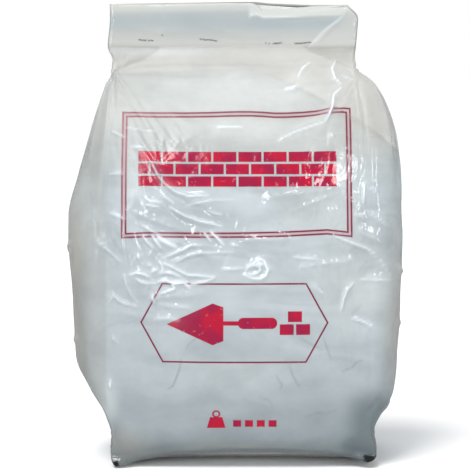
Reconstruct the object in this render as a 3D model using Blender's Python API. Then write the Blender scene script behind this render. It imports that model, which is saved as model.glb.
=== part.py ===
"""A one kilogram bag of cement: a clear side-gusseted film bag, welded flat across its mouth, and the
powder inside it. The bag stands on a level floor and faces -Y. Left and right are as seen from the
front. Units are metres, +Z is up, and the origin is on the floor under the middle of the bag."""

import math
from typing import NamedTuple

import bmesh
import bpy
from mathutils import Vector

MM = 0.001

# The filled bag, as it stands: its overall width and depth are taken over the swollen sides
BAG_WIDTH = 129.0 * MM
BAG_HEIGHT = 174.0 * MM
BAG_DEPTH = 56.5 * MM

# The film's flat front, from crease to crease, and the flat band over the weld that closes the mouth
FRONT_WIDTH = 95.0 * MM
MOUTH_BAND = 16.0 * MM

# The corner that is clipped off the mouth, on the right
CLIP_WIDTH = 4.0 * MM
CLIP_DROP = 5.0 * MM

# The film, and the layers of it that lie on each other in the flat band
FILM_WALL = 0.3 * MM
BAND_LAYERS = 4

# The powder keeps this far from the film on every side
POWDER_CLEARANCE = 0.4 * MM

# The powder is rounded off at the foot, and draws back from the film's lower corners there
FOOT_SLACK = 4.0 * MM
FOOT_SLACK_HEIGHT = 16.0 * MM

# The empty film between the weld and the powder: at the left side, where the slope starts, and at
# the right side
EMPTY_LEFT = 11.0 * MM
EMPTY_MIDDLE = 9.0 * MM
EMPTY_RIGHT = 39.0 * MM
SLOPE_START = 8.0 * MM

# The needle hole that lets air out of the bag, on its back
VENT_DIAMETER = 1.2 * MM
VENT_ACROSS = 28.0 * MM
VENT_BELOW_WELD = 26.0 * MM
VENT_SIDES = 16

# The powder's rings are level up to this share of its lowest top, and slope above that
LEVEL_SHARE = 0.8

# How square a bulging panel is: 2 is a plain arc, and more is flatter with tighter ends
PANEL_FULLNESS = 2.4

# The points along each part of a section, and the most that two rings are apart
PANEL_STEPS = 18
LEAF_STEPS = 4
RING_GAP = 6.0 * MM

WELD_HEIGHT = BAG_HEIGHT - MOUTH_BAND
HALF_FRONT = FRONT_WIDTH / 2
HALF_DEPTH = BAG_DEPTH / 2
SWELL = (BAG_WIDTH - FRONT_WIDTH) / 2
FLAT_DEPTH = BAND_LAYERS * FILM_WALL / 2


class Section(NamedTuple):
    """One level section of the film."""

    height: float
    left: float  # from the middle to the crease between the front and the gusset
    right: float
    swell_left: float  # how far the gusset swells out past its creases
    swell_right: float
    depth: float  # from the middle plane to each crease
    camber: float  # how far the middle of the front and the back stands past the creases


def measured(height, left, right, swell_left, swell_right, depth, camber):
    """A section of the filled part, from the shares that the photo shows of the bag's own sizes."""
    return Section(
        height * WELD_HEIGHT,
        left * HALF_FRONT,
        right * HALF_FRONT,
        swell_left * SWELL,
        swell_right * SWELL,
        depth * HALF_DEPTH,
        camber * HALF_DEPTH,
    )


def flat(height, left, right, clip=0.0):
    """A section of the flat band, whose side edges are folds as round as the layers are thick."""
    left_reach = left * HALF_FRONT
    right_reach = right * HALF_FRONT - clip
    return Section(height, left_reach, right_reach, FLAT_DEPTH, FLAT_DEPTH, FLAT_DEPTH, 0.0)


SECTIONS = (
    # The sole, and the ears of film at its corners
    measured(0.000, 0.96, 1.04, 0.02, 0.03, 0.62, -0.09),
    measured(0.025, 0.985, 1.115, 0.02, 0.05, 0.765, 0.02),
    measured(0.082, 0.955, 1.07, 0.05, 0.11, 0.78, 0.13),
    # The side gussets swell out above the ears
    measured(0.133, 0.975, 1.075, 0.21, 0.29, 0.79, 0.17),
    measured(0.174, 1.005, 1.07, 0.46, 0.64, 0.795, 0.185),
    measured(0.247, 1.02, 1.06, 0.79, 0.74, 0.805, 0.195),
    measured(0.405, 1.02, 1.053, 0.853, 0.83, 0.805, 0.195),
    measured(0.595, 1.015, 1.042, 0.953, 0.86, 0.76, 0.19),
    # The shoulders: straight on the left, round on the right
    measured(0.690, 1.008, 1.032, 0.724, 0.847, 0.665, 0.177),
    measured(0.766, 1.00, 1.023, 0.512, 0.771, 0.545, 0.152),
    measured(0.842, 0.99, 1.015, 0.318, 0.612, 0.39, 0.113),
    measured(0.908, 0.98, 1.00, 0.165, 0.365, 0.22, 0.064),
    measured(0.962, 0.965, 0.943, 0.047, 0.047, 0.067, 0.014),
    # The flat band
    flat(WELD_HEIGHT, 0.98, 0.95),
    flat(BAG_HEIGHT - CLIP_DROP, 0.985, 0.968),
    flat(BAG_HEIGHT, 0.987, 0.968, CLIP_WIDTH),
)
SECTION_HEIGHTS = [section.height for section in SECTIONS]


def eased(heights, values, height):
    """The value at a height, on a smooth curve that stays between neighbouring values."""
    last = len(heights) - 1
    slopes = [(values[i + 1] - values[i]) / (heights[i + 1] - heights[i]) for i in range(last)]
    span = max(i for i in range(last) if i == 0 or heights[i] <= height)

    def tangent(i):
        if i in (0, last):
            return slopes[min(i, last - 1)]
        before, after = slopes[i - 1], slopes[i]
        if before * after <= 0:
            return 0.0
        return 2 * before * after / (before + after)

    width = heights[span + 1] - heights[span]
    t = min(max((height - heights[span]) / width, 0.0), 1.0)
    return (
        values[span] * (1 + 2 * t) * (1 - t) ** 2
        + tangent(span) * width * t * (1 - t) ** 2
        + values[span + 1] * t * t * (3 - 2 * t)
        - tangent(span + 1) * width * t * t * (1 - t)
    )


def film_at(height):
    """The film's outer section at a height, on a smooth curve through the measured ones."""
    columns = zip(*(section[1:] for section in SECTIONS))
    return Section(height, *(eased(SECTION_HEIGHTS, column, height) for column in columns))


def film_skin_at(height):
    """The film's outer section at a height as it is built, straight between two rings."""
    heights = ring_heights(0.0, BAG_HEIGHT)
    span = max(i for i in range(len(heights) - 1) if i == 0 or heights[i] <= height)
    lower, upper = film_at(heights[span]), film_at(heights[span + 1])
    share = (height - heights[span]) / (heights[span + 1] - heights[span])
    return Section(*(a + (b - a) * share for a, b in zip(lower, upper)))


def drawn_in(section, inset, slack=0.0):
    """The section inside another one: inset from it by the film, and by the slack on top of that."""
    return section._replace(
        left=section.left - inset - slack,
        right=section.right - inset - slack,
        depth=section.depth - inset - slack,
    )


def half_ring(section):
    """The points of a section's front half, from the middle of the left side to that of the right."""
    angles = [math.pi / 2 * step / LEAF_STEPS for step in range(LEAF_STEPS + 1)]
    left_leaf = [
        (-section.left - section.swell_left * math.cos(angle), -section.depth * math.sin(angle))
        for angle in angles
    ]
    right_leaf = [
        (section.right + section.swell_right * math.cos(angle), -section.depth * math.sin(angle))
        for angle in reversed(angles)
    ]
    panel = []
    for step in range(1, PANEL_STEPS):
        share = step / PANEL_STEPS
        camber = section.camber * (1 - abs(2 * share - 1) ** PANEL_FULLNESS)
        x = -section.left + share * (section.left + section.right)
        panel.append((x, -section.depth - camber))
    return left_leaf + panel + right_leaf


def ring_count():
    """The number of points in a whole ring."""
    return 2 * (2 * LEAF_STEPS + PANEL_STEPS)


def whole_ring(front):
    """A closed ring from its front half: the back half is its mirror image, end points left out."""
    back = [Vector((point.x, -point.y, point.z)) for point in reversed(front[1:-1])]
    return front + back


def add_loft(bm, rings, outward):
    """Add a closed skin through the rings, with a strip of faces across each end."""
    skin = [[bm.verts.new(point) for point in ring] for ring in rings]
    count = ring_count()
    faces = []
    for lower, upper in zip(skin, skin[1:]):
        for i in range(count):
            j = (i + 1) % count
            faces.append((lower[i], lower[j], upper[j], upper[i]))
    for ring, is_top in ((skin[0], False), (skin[-1], True)):
        for i in range(count // 2):
            corners = [ring[i], ring[i + 1], ring[-i - 1], ring[-i]]
            unique = list(dict.fromkeys(corners))
            faces.append(tuple(unique if is_top else reversed(unique)))
    for corners in faces:
        bm.faces.new(corners if outward else tuple(reversed(corners)))


def ring_heights(bottom, top):
    """Heights from bottom to top that take in the measured sections between them."""
    stops = [bottom] + [h for h in SECTION_HEIGHTS if bottom + MM < h < top - MM] + [top]
    heights = [bottom]
    for below, above in zip(stops, stops[1:]):
        steps = math.ceil((above - below) / RING_GAP - 1e-6)
        heights += [below + (above - below) * step / steps for step in range(1, steps + 1)]
    return heights


def skin_rings(bottom, top, inset):
    """The rings of the film's outer skin, or of its inner one."""
    between = [h for h in ring_heights(0.0, BAG_HEIGHT) if bottom + MM < h < top - MM]
    rings = []
    for height in [bottom] + between + [top]:
        front = half_ring(drawn_in(film_at(height), inset))
        rings.append(whole_ring([Vector((x, y, height)) for x, y in front]))
    return rings


def powder_top(across):
    """The height of the powder's upper surface at a distance across the bag."""
    reach_left = film_at(WELD_HEIGHT - EMPTY_LEFT)
    reach_right = film_at(WELD_HEIGHT - EMPTY_RIGHT)
    leftmost = -reach_left.left - reach_left.swell_left
    rightmost = reach_right.right + reach_right.swell_right
    if across < SLOPE_START:
        share = (across - leftmost) / (SLOPE_START - leftmost)
        return WELD_HEIGHT - EMPTY_LEFT + (EMPTY_LEFT - EMPTY_MIDDLE) * max(share, 0.0)
    share = min((across - SLOPE_START) / (rightmost - SLOPE_START), 1.0)
    return WELD_HEIGHT - EMPTY_MIDDLE - (EMPTY_RIGHT - EMPTY_MIDDLE) * share


def powder_section(height):
    """The powder's section at a height."""
    share = max(1 - height / FOOT_SLACK_HEIGHT, 0.0)
    return drawn_in(film_skin_at(height), FILM_WALL + POWDER_CLEARANCE, FOOT_SLACK * share * share)


def powder_rings():
    """The powder's rings. They are level at the foot and lie along the powder's slope at the top."""
    bottom = FILM_WALL + POWDER_CLEARANCE
    crown = half_ring(powder_section(WELD_HEIGHT - EMPTY_RIGHT))
    tops = [powder_top(x) for x, _ in crown]
    highest = max(tops)
    level_up_to = LEVEL_SHARE * min(tops)
    levels = [h for h in ring_heights(0.0, BAG_HEIGHT) if bottom + MM < h < level_up_to]
    levels = [bottom] + levels + ring_heights(level_up_to, highest)
    rings = []
    for level in levels:
        share = max(level - level_up_to, 0.0) / (highest - level_up_to)
        front = []
        for i, top in enumerate(tops):
            height = min(level, level_up_to) + (top - level_up_to) * share
            x, y = half_ring(powder_section(height))[i]
            front.append(Vector((x, y, height)))
        rings.append(whole_ring(front))
    return rings


def vent_cutter():
    """A pin through the back film, where the needle hole is."""
    height = WELD_HEIGHT - VENT_BELOW_WELD
    section = film_at(height)
    share = (VENT_ACROSS + section.left) / (section.left + section.right)
    camber = section.camber * (1 - abs(2 * share - 1) ** PANEL_FULLNESS)
    reach = VENT_DIAMETER + FILM_WALL
    middle = Vector((VENT_ACROSS, section.depth + camber, height))
    bm = bmesh.new()
    ends = []
    for y in (-reach, reach):
        ring = []
        for side in range(VENT_SIDES):
            angle = 2 * math.pi * side / VENT_SIDES
            offset = Vector((math.cos(angle), 0.0, math.sin(angle))) * VENT_DIAMETER / 2
            ring.append(bm.verts.new(middle + offset + Vector((0.0, y, 0.0))))
        ends.append(ring)
    near, far = ends
    bm.faces.new(near)
    bm.faces.new(list(reversed(far)))
    for i in range(VENT_SIDES):
        j = (i + 1) % VENT_SIDES
        bm.faces.new((near[j], near[i], far[i], far[j]))
    return object_from(bm, "vent_pin")


def object_from(bm, name):
    """An object with the bmesh's faces, in the scene."""
    mesh = bpy.data.meshes.new(name)
    bm.to_mesh(mesh)
    bm.free()
    made = bpy.data.objects.new(name, mesh)
    bpy.context.scene.collection.objects.link(made)
    return made


def finish_of(name, colour, roughness):
    """A plain material of its own for each piece."""
    material = bpy.data.materials.new(name)
    material.use_nodes = True
    shader = material.node_tree.nodes["Principled BSDF"]
    shader.inputs["Base Color"].default_value = (*colour, 1.0)
    shader.inputs["Roughness"].default_value = roughness
    shader.inputs["Metallic"].default_value = 0.0
    material.diffuse_color = (*colour, 1.0)
    return material


def make_film_bag():
    """The film: an outer and an inner skin, joined where the needle hole goes through."""
    bm = bmesh.new()
    add_loft(bm, skin_rings(0.0, BAG_HEIGHT, 0.0), True)
    add_loft(bm, skin_rings(FILM_WALL, WELD_HEIGHT, FILM_WALL), False)
    bag = object_from(bm, "film_bag")
    pin = vent_cutter()
    cut = bag.modifiers.new("vent", "BOOLEAN")
    cut.operation = "DIFFERENCE"
    cut.solver = "EXACT"
    cut.object = pin
    depsgraph = bpy.context.evaluated_depsgraph_get()
    pierced = bpy.data.meshes.new_from_object(bag.evaluated_get(depsgraph))
    bag.modifiers.clear()
    bag.data = pierced
    pierced.name = "film_bag"
    bpy.data.objects.remove(pin)
    bag.data.materials.append(finish_of("clear_film", (0.78, 0.80, 0.79), 0.25))
    return bag


def make_cement_fill():
    """The powder, as one solid."""
    bm = bmesh.new()
    add_loft(bm, powder_rings(), True)
    fill = object_from(bm, "cement_fill")
    fill.data.materials.append(finish_of("cement_powder", (0.60, 0.62, 0.62), 0.95))
    return fill


def main():
    """Clear the scene and build the bag."""
    for old in list(bpy.data.objects):
        bpy.data.objects.remove(old)
    make_film_bag()
    make_cement_fill()


main()
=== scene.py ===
"""The looks of a small bag of cement: clear creased film, printed in one colour, over pale powder.

The film is one closed skin on a regular grid. It follows the bag's measured sections, and its creases
are laid on that grid. The powder is a second solid just inside it. Units are metres, +Z is up, and the
printed front faces -Y. Left and right are as seen from the front.
"""

from __future__ import annotations

import logging
import math
from collections.abc import Callable
from dataclasses import dataclass, field
from enum import Enum
from functools import reduce

import bmesh
import bpy
import numpy as np
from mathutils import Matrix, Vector, noise


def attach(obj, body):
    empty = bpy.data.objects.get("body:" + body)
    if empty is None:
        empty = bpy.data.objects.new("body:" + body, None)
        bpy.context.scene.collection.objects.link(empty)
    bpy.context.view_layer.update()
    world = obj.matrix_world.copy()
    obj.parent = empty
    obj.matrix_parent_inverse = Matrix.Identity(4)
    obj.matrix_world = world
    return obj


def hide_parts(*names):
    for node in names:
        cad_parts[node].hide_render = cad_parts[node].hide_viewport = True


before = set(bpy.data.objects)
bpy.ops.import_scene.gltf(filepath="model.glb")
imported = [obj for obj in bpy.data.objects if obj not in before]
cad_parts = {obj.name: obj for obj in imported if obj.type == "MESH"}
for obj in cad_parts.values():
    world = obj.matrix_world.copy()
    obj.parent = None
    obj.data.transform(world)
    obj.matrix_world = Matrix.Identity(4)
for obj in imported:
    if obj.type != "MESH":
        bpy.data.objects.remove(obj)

LOG = logging.getLogger("cement_bag")
MM = 0.001
NOISE_SEED = 7
Place = tuple[float, float]
Colour = tuple[float, float, float]


class Side(Enum):
    """The four faces of the film's sleeve, in the order in which a ring runs round them."""

    FRONT = 0
    RIGHT = 1
    BACK = 2
    LEFT = 3


def eased(knots: np.ndarray, values: np.ndarray, at: np.ndarray) -> np.ndarray:
    """Reads a smooth curve through measured values that never overshoots them.

    Args:
        knots: Rising places of the measured values.
        values: One value for each knot.
        at: The places to read.

    Returns:
        The curve's value at each place.
    """
    width = np.diff(knots)
    slope = np.diff(values) / width
    tangent = np.empty_like(values)
    tangent[0], tangent[-1] = slope[0], slope[-1]
    before, after = slope[:-1], slope[1:]
    agree = before * after > 0
    total = np.where(agree, before + after, 1.0)
    tangent[1:-1] = np.where(agree, 2 * before * after / total, 0.0)
    span = np.clip(np.searchsorted(knots, at, side="right") - 1, 0, len(knots) - 2)
    t = np.clip((at - knots[span]) / width[span], 0.0, 1.0)
    return (
        values[span] * (1 + 2 * t) * (1 - t) ** 2
        + tangent[span] * width[span] * t * (1 - t) ** 2
        + values[span + 1] * t * t * (3 - 2 * t)
        - tangent[span + 1] * width[span] * t * t * (1 - t)
    )


def smooth_step(low: float, high: float, at: np.ndarray) -> np.ndarray:
    """Rises smoothly from 0 at low to 1 at high. It falls where high is the lower one."""
    t = np.clip((at - low) / (high - low), 0.0, 1.0)
    return t * t * (3 - 2 * t)


def window(low: float, full: float, until: float, high: float, at: np.ndarray) -> np.ndarray:
    """Rises from 0 at low to 1 at full, and falls again from 1 at until to 0 at high."""
    return smooth_step(low, full, at) * (1 - smooth_step(until, high, at))


def bell(at: np.ndarray, width: float) -> np.ndarray:
    """Is 1 at 0 and fades to both sides within about a width."""
    return np.exp(-((at / width) ** 2))


@dataclass(frozen=True)
class Profile:
    """The film's measured sections, from the floor up, in millimetres."""

    height: tuple[float, ...] = (
        0, 1.2, 4, 8, 13, 19, 21.5, 27.5, 39, 64, 94, 109, 121, 133, 143.5, 149, 153, 158, 169, 174
    )
    left: tuple[float, ...] = (
        43.5, 45.2, 46.4, 45.8, 45.2, 46.0, 46.4, 47.8, 48.4, 48.4, 48.2, 47.9, 47.5, 47.1, 46.6, 46.1,
        46.3, 48.2, 47.3, 47.4
    )
    right: tuple[float, ...] = (
        47.5, 50.5, 52.8, 52.0, 50.8, 51, 51, 50.8, 50.4, 50, 49.5, 49, 48.6, 48.2, 47.4, 46.0, 45.3,
        45.8, 46.6, 42.5
    )
    swell_left: tuple[float, ...] = (
        0.2, 0.3, 0.4, 0.5, 0.9, 2.8, 4.0, 7.8, 12.7, 13.8, 15.4, 12.0, 8.7, 5.4, 2.6, -3, -12, -20,
        -22, -22
    )
    swell_right: tuple[float, ...] = (
        0.3, 0.5, 0.9, 1.0, 1.9, 5.4, 8.2, 10.2, 12.0, 13.3, 13.9, 13.9, 13.1, 10.4, 5.8, -1, -10, -20,
        -22, -22
    )
    depth: tuple[float, ...] = (
        15.5, 19.0, 21.6, 22, 22.1, 22.2, 22.3, 22.5, 22.7, 22.7, 21.4, 18.8, 15.4, 11, 6.2, 3.4, 1.5,
        0.5, 0.5, 0.5
    )
    camber: tuple[float, ...] = (
        -1.5, -1.0, 0.5, 2.2, 3.6, 4.6, 4.8, 5.3, 5.5, 5.5, 5.4, 5.0, 4.3, 3.2, 1.8, 0.9, 0.3, 0.0, 0.0,
        0.0
    )

    def read(self, name: str, heights: np.ndarray) -> np.ndarray:
        """Reads one measure at many heights.

        Args:
            name: The measure's field name.
            heights: Heights above the floor, in metres.

        Returns:
            The measure at each height, in metres.
        """
        knots = np.array(self.height, float)
        values = np.array(getattr(self, name), float)
        return eased(knots, values, heights / MM) * MM


@dataclass
class Sleeve:
    """The film's sleeve as a regular grid of rings, before it is creased."""

    profile: Profile = field(default_factory=Profile)
    front_steps: int = 226
    leaf_steps: int = 16
    back_steps: int = 60
    rows: int = 268
    crowding: float = 0.3
    fullness: float = 2.4

    @property
    def top(self) -> float:
        """The height of the mouth."""
        return self.profile.height[-1] * MM

    @property
    def columns(self) -> int:
        """The number of points in a ring."""
        return self.front_steps + self.back_steps + 4 * self.leaf_steps

    def heights(self) -> np.ndarray:
        """The height of each ring: they lie closest around the middle, where the film is most creased."""
        even = np.linspace(0.0, 1.0, self.rows)
        return self.top * (even + self.crowding * np.sin(math.tau * even) / math.tau)

    def side_counts(self) -> tuple[int, int, int, int]:
        """How many columns each side takes."""
        return (self.front_steps, 2 * self.leaf_steps, self.back_steps, 2 * self.leaf_steps)

    def side_of_column(self) -> np.ndarray:
        """The side that each column lies on, as a Side value."""
        return np.repeat([side.value for side in Side], self.side_counts())

    def panel(self, share: np.ndarray, z: np.ndarray) -> tuple[np.ndarray, np.ndarray]:
        """Places points on the front or the back.

        Args:
            share: How far across each point lies, from the left crease to the right one.
            z: The height of each point.

        Returns:
            The points' x, and their distance from the middle plane.
        """
        read = self.profile.read
        left, right = read("left", z), read("right", z)
        x = -left + share * (left + right)
        bow = 1 - np.abs(2 * share - 1) ** self.fullness
        return x, read("depth", z) + read("camber", z) * bow

    def leaf(self, share: np.ndarray, z: np.ndarray, side: Side) -> tuple[np.ndarray, np.ndarray]:
        """Places points on half of a gusset, which swells out over the powder and is tucked in above.

        Args:
            share: 0 at the crease with a panel, and 1 at the gusset's own middle crease.
            z: The height of each point.
            side: Side.LEFT or Side.RIGHT.

        Returns:
            The points' x, and their distance from the middle plane.
        """
        read = self.profile.read
        which = "left" if side is Side.LEFT else "right"
        crease, swell = read(which, z), read("swell_" + which, z)
        depth = read("depth", z)
        round_share = smooth_step(-9 * MM, 1.5 * MM, swell)
        angle = share * math.pi / 2
        out = round_share * np.sin(angle) + (1 - round_share) * share
        near = round_share * np.cos(angle) + (1 - round_share) * (1 - share)
        gap = 0.32 + 0.68 * round_share
        near = np.where(share > 0, near * gap + (1 - gap) * (1 - share) ** 8, near)
        x = crease + swell * out
        return (-x if side is Side.LEFT else x), depth * near

    def grid(self, heights: np.ndarray | None = None) -> np.ndarray:
        """Places the whole sleeve.

        Args:
            heights: The rings' heights, or an array of rings by columns. By default, the film's own.

        Returns:
            Points as an array of rings, columns and coordinates.
        """
        z = self.heights() if heights is None else heights
        if z.ndim == 1:
            z = np.repeat(z[:, None], self.columns, axis=1)
        out = np.empty(z.shape + (3,))
        out[..., 2] = z
        start = 0
        for side in Side:
            if side in (Side.FRONT, Side.BACK):
                count = self.front_steps if side is Side.FRONT else self.back_steps
                share = np.arange(count) / count
                share = share if side is Side.FRONT else 1 - share
                part = slice(start, start + count)
                x, y = self.panel(np.broadcast_to(share, z[:, part].shape), z[:, part])
                out[:, part, 0] = x
                out[:, part, 1] = -y if side is Side.FRONT else y
                start += count
                continue
            for outward in (True, False):
                count = self.leaf_steps
                share = np.arange(count) / count
                share = share if outward else 1 - share
                part = slice(start, start + count)
                x, y = self.leaf(np.broadcast_to(share, z[:, part].shape), z[:, part], side)
                toward_back = (side is Side.RIGHT) != outward
                out[:, part, 0] = x
                out[:, part, 1] = y if toward_back else -y
                start += count
        return out


def grid_normals(points: np.ndarray) -> np.ndarray:
    """Finds the outward normal at each point of a sleeve's grid."""
    around = np.roll(points, -1, axis=1) - np.roll(points, 1, axis=1)
    up = np.gradient(points, axis=0)
    normal = np.cross(around, up)
    length = np.linalg.norm(normal, axis=-1, keepdims=True)
    return normal / np.maximum(length, 1e-12)


@dataclass(frozen=True)
class Crease:
    """One raised or sunken fold of film.

    Attributes:
        path: Its places across and up, in millimetres.
        height: How far it stands up, in millimetres.
        width: Its half width, in millimetres.
        shine: How white its crest is painted, as stretch whitening with a painted highlight; in a crack, how
            dark it shows; from 0 to 1.
    """

    path: tuple[Place, ...]
    height: float
    width: float
    shine: float


def creases(*rows: tuple[float, ...]) -> tuple[Crease, ...]:
    """Makes creases from rows of numbers: height, width and shine, then x and z of each point."""
    return tuple(Crease(tuple(zip(row[3::2], row[4::2])), *row[:3]) for row in rows)


FRONT_CREASES = creases(
    # Folds that run down from the weld, on the right
    (0.9, 1.1, 0.8, 28.2, 151.7, 25.3, 148.7, 23.9, 146.1),
    (1, 1.1, 0.9, 38.1, 152.5, 36.5, 149.1, 37.3, 145.3, 39.7, 143.4),
    (0.8, 1.1, 0.9, 39.8, 141.8, 36.9, 139, 36.3, 134.6, 34.9, 131.3, 33.4, 129.1),
    (0.6, 1.1, 0.6, 33.4, 129.1, 27.8, 127.3, 22.2, 125.5, 16.7, 122.9),
    (0.7, 1.8, 0.9, 18.9, 141.4, 21.2, 141.4, 23.2, 142.3),
    (0.4, 1.2, 0.3, 40, 146.6, 45, 144.7),
    (0.5, 1.6, 0.7, 35.9, 124.9, 36.2, 123.8),
    # Slack film around the printed frame
    (0.4, 1.3, 0.7, -6.3, 127.5, -2, 127.2, 2.7, 127.5),
    (0.3, 1, 0.4, -40.3, 127.5, -35.4, 126.4, -29.4, 125.7),
    (0.3, 1.4, 0.6, -38.6, 120.5, -33.7, 119.8),
    (0.4, 1.2, 0.4, -46.1, 126.2, -44.3, 125.5, -41.3, 124),
    (0.4, 1.2, 0.3, -46.8, 110.5, -41.5, 110.6),
    (0.8, 1.1, 0.5, -30.7, 113.9, -28.3, 109.4, -25.7, 106.5, -22, 103.9, -17.2, 102.4, -9.9, 102.6),
    (0.5, 0.9, 0.7, -33.8, 101.7, -31.2, 100.3, -27.5, 100.1),
    (0.4, 0.9, 0.7, -33.4, 99.1, -31.2, 98.7, -28.3, 98.4),
    (0.5, 0.9, 0.5, -27.2, 102.4, -24.6, 101.3, -22.7, 99.9),
    (0.7, 1, 0.7, -24.3, 98.3, -18.3, 95.2, -12.8, 93.3, -4.7, 91.6),
    (0.4, 1.2, 0.3, -18, 99.1, -12.8, 100.2, -7.3, 101, -0.7, 101.3),
    (0.4, 1, 0.5, -10.2, 97.3, -7.3, 96.2, -4.7, 95.8),
    (0.5, 1.1, 0.5, -46.3, 96.2, -41, 94.1),
    (0.5, 0.9, 0.7, -11.3, 89.2, -10.2, 87.6, -8.8, 85.9),
    (0.6, 0.8, 0.9, -8.8, 89.2, -6.6, 87.4, -4.3, 84.8),
    (0.4, 1.1, 0.5, -1.2, 84.8, 1.2, 84.4),
    (0.7, 1.1, 0.4, -35, 91.8, -31.4, 90, -27.9, 88.5),
    # The crushed patch at the left, between the frame and the badge
    (0.8, 0.9, 0.8, -34.2, 87.8, -32.3, 85.6, -30.1, 83.4),
    (0.7, 1, 0.9, -30.5, 88.1, -29, 85.9, -27.2, 83.4),
    (0.9, 2.2, 0.8, -28.6, 88.2, -26.8, 86.4, -23.9, 84.9, -21.4, 83.8),
    (0.5, 1.3, 0.7, -36, 80.8, -35.2, 79.3),
    (0.4, 1, 0.4, -30.8, 82.3, -32, 80.5),
    (0.5, 1, 0.5, -26.1, 79.9, -19.5, 82.7, -16.2, 84.4, -12.3, 84.6),
    (0.6, 1, 0.4, -21.7, 78.5, -17.6, 80.5, -12.5, 81.9, -0.7, 82.1),
    (0.8, 0.9, 0.9, -39, 73.4, -36.4, 74.3, -33.8, 73.8, -31.3, 72.7),
    (0.7, 0.9, 0.6, -36.8, 72.3, -34.6, 70.8, -32, 70.3, -29.1, 70.6),
    (0.4, 0.9, 0.6, -32.7, 77.3, -30.5, 77.1),
    (0.6, 0.9, 0.5, -28.3, 78.6, -26.8, 77.1, -26.5, 75.3, -27.9, 74.5),
    (0.5, 1, 0.8, -30.9, 74.5, -28.7, 75.6),
    (0.6, 0.9, 0.6, -27.9, 74.1, -25.4, 74.5, -22.8, 74.1, -19.8, 73),
    (0.9, 1.1, 0.9, -28.3, 71.2, -25.4, 71.5, -22.1, 70.6, -18.7, 70.8, -16.5, 68.9),
    (0.8, 1, 0.9, -27.6, 66.7, -24.7, 67.8, -22.1, 68.7, -23.2, 70.4),
    (0.8, 1, 0.7, -26.1, 77.9, -22, 76, -17.6, 73.8, -11.7, 73.4, -7.3, 73),
    (0.6, 1.1, 0.7, -7.3, 72.8, -11, 71.4, -16.5, 70.2),
    (0.6, 1.3, 0.6, -30.9, 65.9, -29.5, 63.3),
    (0.5, 2, 0.3, -28.4, 62.9, -22.1, 62.2, -16.6, 61.8),
    (0.5, 2.2, 0.3, -29.5, 57.3, -24, 57.7, -21, 57),
    # A dent right of the middle, with a painted highlight round its rim
    (0.6, 1, 0.8, 3.9, 75.4, 4.6, 76.5, 5.9, 77.2, 7.6, 77.4, 9, 76.9, 9.2, 75.7, 8.2, 74.6,
     6.4, 74, 4.8, 74.4),
    (0.7, 1.3, 0.9, 6.6, 78, 7.9, 79.2, 9.4, 79.7, 10.7, 79, 11.2, 77.4, 12, 75.6, 11.2, 73.6,
     9.2, 72.4, 6.4, 72.6, 3, 74),
    (0.6, 1.3, 0.5, -5, 76, -0.3, 76, 3.4, 76.4),
    (0.5, 2, 0.8, 8, 78.6, 10.2, 77.6),
    # Pulls across the middle and down the right
    (0.4, 1, 0.5, 21.5, 80.3, 30.4, 79.5),
    (0.4, 1.8, 0.1, 4, 88, 12, 86.4, 24, 86.9),
    (0.4, 1.8, 0.1, 20, 97, 30, 100.6, 38, 103.4),
    (0.8, 1.1, 0.6, 36.1, 88, 40.6, 86.1, 44.6, 84.5, 48.7, 83, 51.6, 80.8),
    (0.5, 1.2, 0.2, 51.6, 80.8, 54.6, 77.1, 58, 71.9),
    (0.5, 1, 0.3, 46.2, 71.5, 52.2, 71.2, 58.3, 70.7),
    (0.7, 0.9, 0.7, 44, 70.4, 41.4, 67.8, 40, 64.4, 39.3, 60.3),
    (0.7, 0.9, 0.6, 43.3, 57, 46.7, 56.2, 48.9, 55.1, 51.2, 53.2),
    (0.35, 2, 0.1, 28, 70, 33, 66),
    (0.4, 1.5, 0.2, 44, 96, 48.5, 93.4),
    (0.5, 1, 0.3, 49, 96.6, 52.7, 94, 57.1, 90.7),
    (0.6, 0.9, 0.9, 48, 107.2, 47.7, 103.2, 47.6, 99.5),
    (0.4, 0.9, 0.4, 50.3, 105.2, 52.3, 103),
    (0.3, 0.8, 0.4, 50.8, 108.6, 52.4, 106.8),
    # Broad ridges of slack
    (1, 2.6, 0, -38.6, 96.6, -31.2, 94, -18.3, 89.6),
    (0.8, 3, 0, 10, 101.3, 24, 103.2, 36.9, 105),
    (0.7, 2.5, 0, 1.2, 85.9, 10, 86.7, 20.3, 87.8),
    (0.8, 3, 0, 24, 76.4, 35.1, 77.9, 43.2, 78.6),
    (0.6, 2.5, 0, -31.3, 64.4, -22.1, 65.9, -11, 66.7),
    (0.8, 2.6, 0, 45, 89.6, 51, 86.6, 57, 83),
    # Short folds down the left
    (0.7, 1.3, 0.3, -51.1, 85.6, -48.2, 83, -45.2, 80.8, -42.3, 77.9),
    (0.5, 0.9, 0.3, -41.2, 73.4, -40.1, 69.3, -38.3, 65.9, -36.1, 63.3),
    (0.5, 0.9, 0.4, -46.8, 62.9, -45.3, 65.6, -43.1, 63.7, -40.9, 62.6, -36.5, 61.8),
    (0.5, 1, 0.2, -45.8, 49.6, -43.1, 47.8),
    (0.6, 1.1, 0.8, -46.5, 33, -46.3, 30.6),
    (-0.6, 0.9, 0, 55, 27.2, 52, 24.4, 49.1, 21.6),
)

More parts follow.
